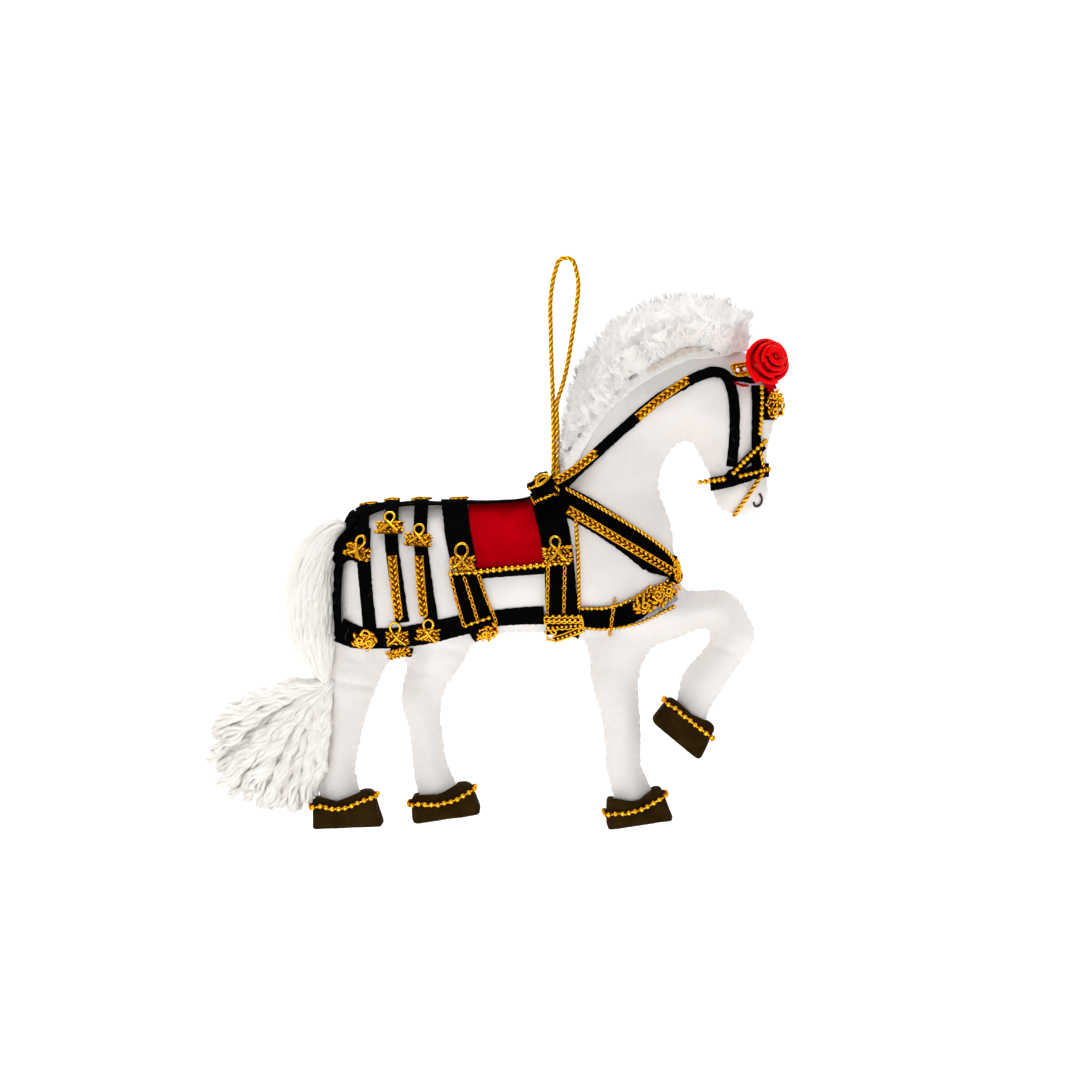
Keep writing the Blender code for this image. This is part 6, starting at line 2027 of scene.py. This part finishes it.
    def wisps(self, gathered: Gathering, finished: list, rng: np.random.Generator) -> None:
        """Fine loose fibres at the cut ends."""
        hair = Template.hair()
        for place, ahead in finished:
            count = 16
            starts = place + rng.normal(0, 0.5, (count, 3)) * MM - ahead * 1.2 * MM
            ways = unit_rows(ahead + rng.normal(0, 0.3, (count, 3)) + [0, 0, -0.12])
            across = unit_rows(np.cross(ways, rng.normal(0, 1, (count, 3))))
            frames = np.stack([ways, across, np.cross(ways, across)], axis=1)
            sizes = np.stack([rng.uniform(1.6, 3.6, count), np.full(count, 0.07), np.full(count, 0.07)], axis=1) * MM
            gathered.copies(hair, starts, frames, sizes, rng.uniform(0, 0.5, count))

    def dress(self) -> None:
        """The hank, the tie and the tassel."""
        rng = np.random.default_rng(SEED + 9)
        hank = Gathering()
        self.hank(hank, rng)
        hank.piece("tail_hank", YARN, "yarn", ("tail",))
        tassel = Gathering()
        finished = self.tassel(tassel, rng)
        tassel.piece("tail_tassel", YARN, "yarn")
        wisps = Gathering()
        self.wisps(wisps, finished, rng)
        wisps.piece("tail_wisps", YARN, "yarn")
        tie = Gathering()
        middle = np.array([self.tie[0] * MM, 0.0, self.tie[1] * MM])
        for k in range(3):
            turn = np.linspace(0, 2 * math.pi, 40)
            tilt = np.array([0.75, 0.0, 0.66])
            ring = middle + np.outer(np.cos(turn) * 1.75 * MM, tilt) + np.outer(np.sin(turn) * 1.95 * MM, [0, 1, 0])
            ring = ring + np.array([0.4, 0.0, -0.45]) * MM * (k - 1)
            tie.sweep(ring, ring_profile(6), 0.3 * MM, tone=0.25)
        tie.piece("tail_tie", THREAD)


@dataclass
class FeltHooves:
    """Four hooves of dark felt, each wrapped round the end of a leg."""

    dressing: Dressing
    names: tuple = ("hoof_hind_rear", "hoof_hind_front", "hoof_fore_standing", "hoof_fore_raised")

    def dress(self) -> None:
        """Soften each hoof's CAD form and give it a nap."""
        for name in self.names:
            obj = merged_copy(bpy.data.objects[name], name + "_felt")
            work(obj, "REMESH", mode="VOXEL", voxel_size=0.34 * MM)
            work(obj, "SMOOTH", factor=0.5, iterations=3)
            points, normals = corners_of(obj), normals_of(obj)
            nap = np.array([noise.noise(Vector(p) / (0.7 * MM)) * 0.04 + noise.noise(Vector(p) / (4 * MM)) * 0.16
                            for p in points]) * MM
            move_corners(obj, points + normals * nap[:, None])
            obj.data.shade_smooth()
            dressed(obj, FELT, (name,))
            self.dressing.add(obj)


@dataclass
class ResinRose:
    """A cast rose, its petals rolled outwards round a coiled heart."""

    tilt: float = 24.0
    out: float = 20.0
    middle: tuple[float, float, float] = (49.2, -6.0, -25.9)
    rim: float = 0.52

    def petal(self, gathered: Gathering, turn: float, spread: float, radius: float, base: float, top: float,
              wind: float = 0.45, heart: Place = (0.0, 0.0)) -> None:
        """One petal: a shell that rises from the base and rolls over at its rim.

        Args:
            gathered: Where it goes.
            turn: The direction of its middle, in degrees.
            spread: Half of its span, in degrees.
            radius: Its rim's distance from the heart.
            base: The height of its foot.
            top: The height of its rim.
            wind: How far the rim winds outwards from its first end to its last.
            heart: The middle that it stands round.
        """
        deselect()
        bpy.ops.mesh.primitive_grid_add(x_subdivisions=16, y_subdivisions=9, size=1)
        obj = bpy.context.object
        flat = corners_of(obj)
        s, t = 2 * flat[:, 0], flat[:, 1] + 0.5
        fall = np.abs(s) ** 3
        up = np.clip(t / 0.72, 0, 1)
        over = np.clip((t - 0.72) / 0.28, 0, 1) * math.pi * 0.8
        reach = radius - 0.95 + 0.95 * up**1.3 + wind * s
        height = base + (top - base - 0.55 * fall) * np.sin(up * math.pi / 2) ** 0.8 - 0.12 * wind * s
        reach = reach + self.rim * (1 - np.cos(over)) * 0.9
        height = height + self.rim * (np.sin(over) - 0.35 * (1 - np.cos(over)))
        angle = math.radians(turn) + math.radians(spread) * s
        points = np.stack([reach * np.cos(angle) + heart[0], reach * np.sin(angle) + heart[1], height], axis=1)
        move_corners(obj, points * MM)
        work(obj, "SOLIDIFY", thickness=0.62 * MM, offset=0.0)
        work(obj, "SUBSURF", levels=1, render_levels=1)
        shape = Template.taken(obj)
        gathered.add(shape.points, shape.faces, 0.8)

    def whorls(self, gathered: Gathering) -> None:
        """The petals, outermost first, and the coiled heart."""
        heart = (1.1, 0.7)
        for turn, radius in ((196, 5.5), (250, 5.0), (312, 4.8), (14, 4.7), (72, 4.6), (130, 4.9)):
            self.petal(gathered, turn, 46, radius, 0.0, 1.9, 0.3)
        for turn, radius in ((220, 3.7), (310, 3.6), (40, 3.5), (130, 3.5)):
            self.petal(gathered, turn, 58, radius, 0.9, 2.9, 0.35, (0.45, 0.3))
        for turn, radius in ((250, 2.55), (10, 2.45), (130, 2.45)):
            self.petal(gathered, turn, 74, radius, 1.8, 3.7, 0.35, (0.8, 0.5))
        for turn, radius in ((80, 1.5), (260, 1.45)):
            self.petal(gathered, turn, 100, radius, 2.6, 4.3, 0.3, heart)
        turn = np.linspace(0, 2 * math.pi * 1.35, 40)
        radius = np.linspace(0.12, 0.62, 40)
        line = np.stack([heart[0] + radius * np.cos(turn), heart[1] + radius * np.sin(turn), 4.45 - 0.3 * radius],
                        axis=1) * MM
        ends = np.minimum(np.arange(40), np.arange(40)[::-1])
        gathered.sweep(line, ring_profile(8), 0.24 * MM * np.clip(0.5 + 0.25 * ends, 0, 1))

    def dome(self, gathered: Gathering) -> None:
        """The flat-backed body that the petals grow from."""
        deselect()
        bpy.ops.mesh.primitive_uv_sphere_add(segments=28, ring_count=14, radius=1)
        body = bpy.context.object
        body.data.transform(Matrix.Diagonal((4.6 * MM, 4.2 * MM, 3.1 * MM, 1)))
        body.data.transform(Matrix.Translation((-0.5 * MM, 0, 0)))
        points = corners_of(body)
        points[:, 2] = np.maximum(points[:, 2], -0.9 * MM)
        move_corners(body, points)
        merge_doubles(body, 1e-5)
        shape = Template.taken(body)
        gathered.add(shape.points, shape.faces, 0.6)

    def build(self) -> bpy.types.Object:
        """Petals and body, set on the forehead."""
        gathered = Gathering()
        self.whorls(gathered)
        self.dome(gathered)
        facing, tilt = facing_way(self.tilt, self.out), math.radians(self.tilt)
        along = np.array([math.cos(tilt), math.sin(tilt), 0.0])
        along = unit_rows((along - facing * (along @ facing))[None])[0]
        frame = np.stack([along, np.cross(facing, along), facing])
        gathered.points = [p @ frame + np.array(self.middle) * MM for p in gathered.points]
        return gathered.piece("resin_rose", RED_RESIN, "red_resin", ("rose",))


@dataclass
class SmallThings:
    """The nostril's thread, two pearls, a scrap of red ribbon, film and lint."""

    dressing: Dressing

    def nostril(self) -> None:
        """A hooked line of brown thread on the muzzle."""
        way = side([(48.0, -58.2), (48.6, -59.4), (48.4, -60.6), (47.6, -61.3), (46.8, -61.2), (46.5, -60.3)])
        track = self.dressing.track(way, 0.2 * MM, lift=0.05 * MM, width=0.5 * MM)
        for hand, name in ((1, "nostril_near"), (-1, "nostril_far")):
            gathered = Gathering()
            gathered.sweep(track.points * [1, hand, 1], ring_profile(6), 0.3 * MM, tone=0.3)
            gathered.piece(name, BROWN_THREAD)

    def pearls(self) -> None:
        """Two pearls on the poll clasp and stones on the brooch."""
        gathered = Gathering()
        for places, radius in ((((42.2, -27.9), (44.0, -27.6)), 0.55), (((48.3, -32.6), (50.2, -37.2)), 0.36)):
            for place in places:
                tilt = 0.0 if radius > 0.5 else 50.0
                foot, axes = self.dressing.plate(place, tilt, 0, 0.8 * MM, 0.8 * MM)
                gathered.copies(Template.bead(), (foot + axes[2] * 0.1 * MM)[None], axes[None],
                                np.full(3, radius * MM))
        gathered.piece("pearls", PEARL)

    def red_scraps(self) -> None:
        """The ends of the red ribbon under the rose."""
        way = [(46.6, -28.6, 20, 0, 1.0), (48.6, -30.6, 35, 0, 1.0), (49.6, -32.8, 40, 0, 1.0)]
        scrap = Ribbon("rose_ribbon", way, 3.1 * MM, 0.4 * MM, finish=RED_RIBBON, slot="red_ribbon")
        scrap.lay(self.dressing)
        way = side([(41.4, -30.9), (43.2, -31.5), (45.0, -31.5)])
        Ribbon("red_scrap", way, 0.6 * MM, 0.3 * MM, finish=RED_RIBBON, slot="red_ribbon").lay_free(self.dressing)

    def film(self) -> None:
        """A scrap of clear film that shows below the breast ornament."""
        way = side([(19.9, -88.7), (22.5, -87.2), (25.2, -85.5), (27.4, -83.8)])
        Ribbon("film_scrap", way, 1.0 * MM, 0.1 * MM, finish=FILM, frayed=0.2 * MM,
               reach=0.8 * self.dressing.reach).lay_free(self.dressing)

    def lint(self) -> None:
        """Pale fibres caught in the velvet."""
        rng = np.random.default_rng(SEED + 31)
        spots = [(-56.8, -76), (-57.2, -80), (-57.3, -84), (-57, -88), (-54, -92), (-51, -74.5), (-49, -84),
                 (41.5, -42), (41.6, -50), (41.0, -52), (-53, -72.5), (-57.2, -82), (-57.0, -86), (-55.5, -90)]
        gathered = Gathering()
        for x, z in spots:
            heading, bend, size = rng.uniform(0, 2 * math.pi), rng.uniform(-0.9, 0.9), rng.uniform(0.5, 1.0)
            points = []
            for _ in range(6):
                anchor = np.array([x, 0.0, z]) * MM
                height = self.dressing.height(anchor, TO_VIEWER, self.dressing.reach)
                points.append(anchor + [0.0, -height - 0.08 * MM, 0.0])
                x, z = x + size * math.cos(heading), z + size * math.sin(heading)
                heading += 0.4 * bend + rng.normal(0, 0.3)
            gathered.sweep(smooth_line(points, 0.25 * MM), ring_profile(3), 0.017 * MM, tone=rng.uniform(0, 1))
        gathered.piece("lint", LINT)

    def dress(self) -> None:
        """All of them."""
        self.nostril()
        self.film()
        self.red_scraps()
        self.lint()


@dataclass
class Studio:
    """A pale sweep, soft light and the camera in front of the shown side."""

    lens: float = 100.0
    distance: float = 0.75
    middle: tuple[float, float] = (-0.0065, -0.0700)
    floor: float = -0.2
    bend_from: float = 0.25
    bend: float = 2.2

    def camera(self) -> None:
        """The camera, square on to the seam plane."""
        data = bpy.data.cameras.new("camera")
        data.lens = self.lens
        data.sensor_width = 36.0
        data.clip_start, data.clip_end = 0.01, 50.0
        camera = bpy.data.objects.new("camera", data)
        bpy.context.scene.collection.objects.link(camera)
        camera.location = (self.middle[0], -self.distance, self.middle[1])
        camera.rotation_euler = (math.pi / 2, 0, 0)
        bpy.context.scene.camera = camera

    def lamp(self, name: str, place: tuple, size: float, power: float, aim: tuple = (0.0, 0.0, -0.07),
             spread: float = 180.0) -> None:
        """A square soft box that faces the horse."""
        data = bpy.data.lights.new(name, "AREA")
        data.shape = "SQUARE"
        data.size = size
        data.energy = power
        data.spread = math.radians(spread)
        lamp = bpy.data.objects.new(name, data)
        bpy.context.scene.collection.objects.link(lamp)
        lamp.location = place
        lamp.rotation_mode = "QUATERNION"
        lamp.rotation_quaternion = (Vector(place) - Vector(aim)).to_track_quat("Z", "Y")

    def sweep(self) -> None:
        """A floor that curves up into a wall so gently that no line shows, with room to look from any side."""
        turn = np.radians(np.linspace(0, 90, 70))
        line = [(-6.0, self.floor), (-3.0, self.floor), (-1.5, self.floor)]
        line += [(self.bend_from + self.bend * math.sin(a), self.floor + self.bend * (1 - math.cos(a))) for a in turn]
        line = np.array(line + [(line[-1][0], 4.0)])
        deselect()
        bpy.ops.mesh.primitive_grid_add(x_subdivisions=1, y_subdivisions=len(line) - 1, size=1)
        obj = bpy.context.object
        flat = corners_of(obj)
        i = np.rint((flat[:, 1] + 0.5) * (len(line) - 1)).astype(int)
        move_corners(obj, np.stack([flat[:, 0] * 9.0, line[i, 0], line[i, 1]], axis=1))
        settle(obj)
        obj.name = "studio_sweep"
        obj.data.materials.append(SWEEP.material())
        obj.data.shade_smooth()

    def light(self) -> None:
        """Soft boxes beside, above and low before the horse and on the backdrop; dark behind the camera."""
        self.lamp("key", (-0.55, -0.7, 0.5), 0.12, 0.28)
        self.lamp("fill", (0.85, -0.5, 0.05), 0.3, 0.15)
        self.lamp("top", (0.0, 0.05, 0.9), 0.5, 0.6)
        self.lamp("legs", (-0.1, -0.6, -0.19), 0.15, 0.07, (-0.01, 0.0, -0.17), 40.0)
        self.lamp("backdrop", (0.0, 0.7, 2.6), 2.0, 52.0, (0.0, 1.5, 0.2))
        world = bpy.data.worlds.new("room")
        bpy.context.scene.world = world
        world.use_nodes = True
        world.node_tree.nodes.clear()
        way = add_node(world.node_tree, "TexCoord")
        parts = add_node(world.node_tree, "SeparateXYZ", links={"Vector": way.outputs["Generated"]})
        strength = add_node(world.node_tree, "MapRange", {"From Min": -0.9, "From Max": -0.1, "To Min": 0.06,
                                                          "To Max": 1.3}, {"Value": parts.outputs["Y"]})
        room = add_node(world.node_tree, "Background", {"Color": linear("#FFFFFF")}, {"Strength": strength})
        add_node(world.node_tree, "OutputWorld", links={"Surface": room})
        bpy.context.scene.view_settings.view_transform = "Standard"
        bpy.context.scene.view_settings.look = "None"

    def build(self) -> None:
        """All of it."""
        self.camera()
        self.sweep()
        self.light()


def main() -> None:
    """Build and dress the horse."""
    logging.basicConfig(level=logging.INFO, format="%(message)s", stream=sys.stdout)
    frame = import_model()
    low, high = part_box("horse_body")
    dressing = Dressing((high.z - low.z) / SKIN_HEIGHT_UNITS)
    Studio().build()
    body = StuffedSkin()
    skin = body.skin(frame)
    dressing.add(skin)
    body.stitches(dressing)
    FeltHooves(dressing).dress()
    PlushMane(dressing).dress()
    HangingLoop(dressing).build()
    Harness(dressing).dress()
    WithersBow(dressing).dress()
    SmallThings(dressing).dress()
    GiltWork(dressing).dress()
    SmallThings(dressing).pearls()
    ResinRose().build()
    YarnTail(dressing).dress()


if __name__ == "__main__":
    main()
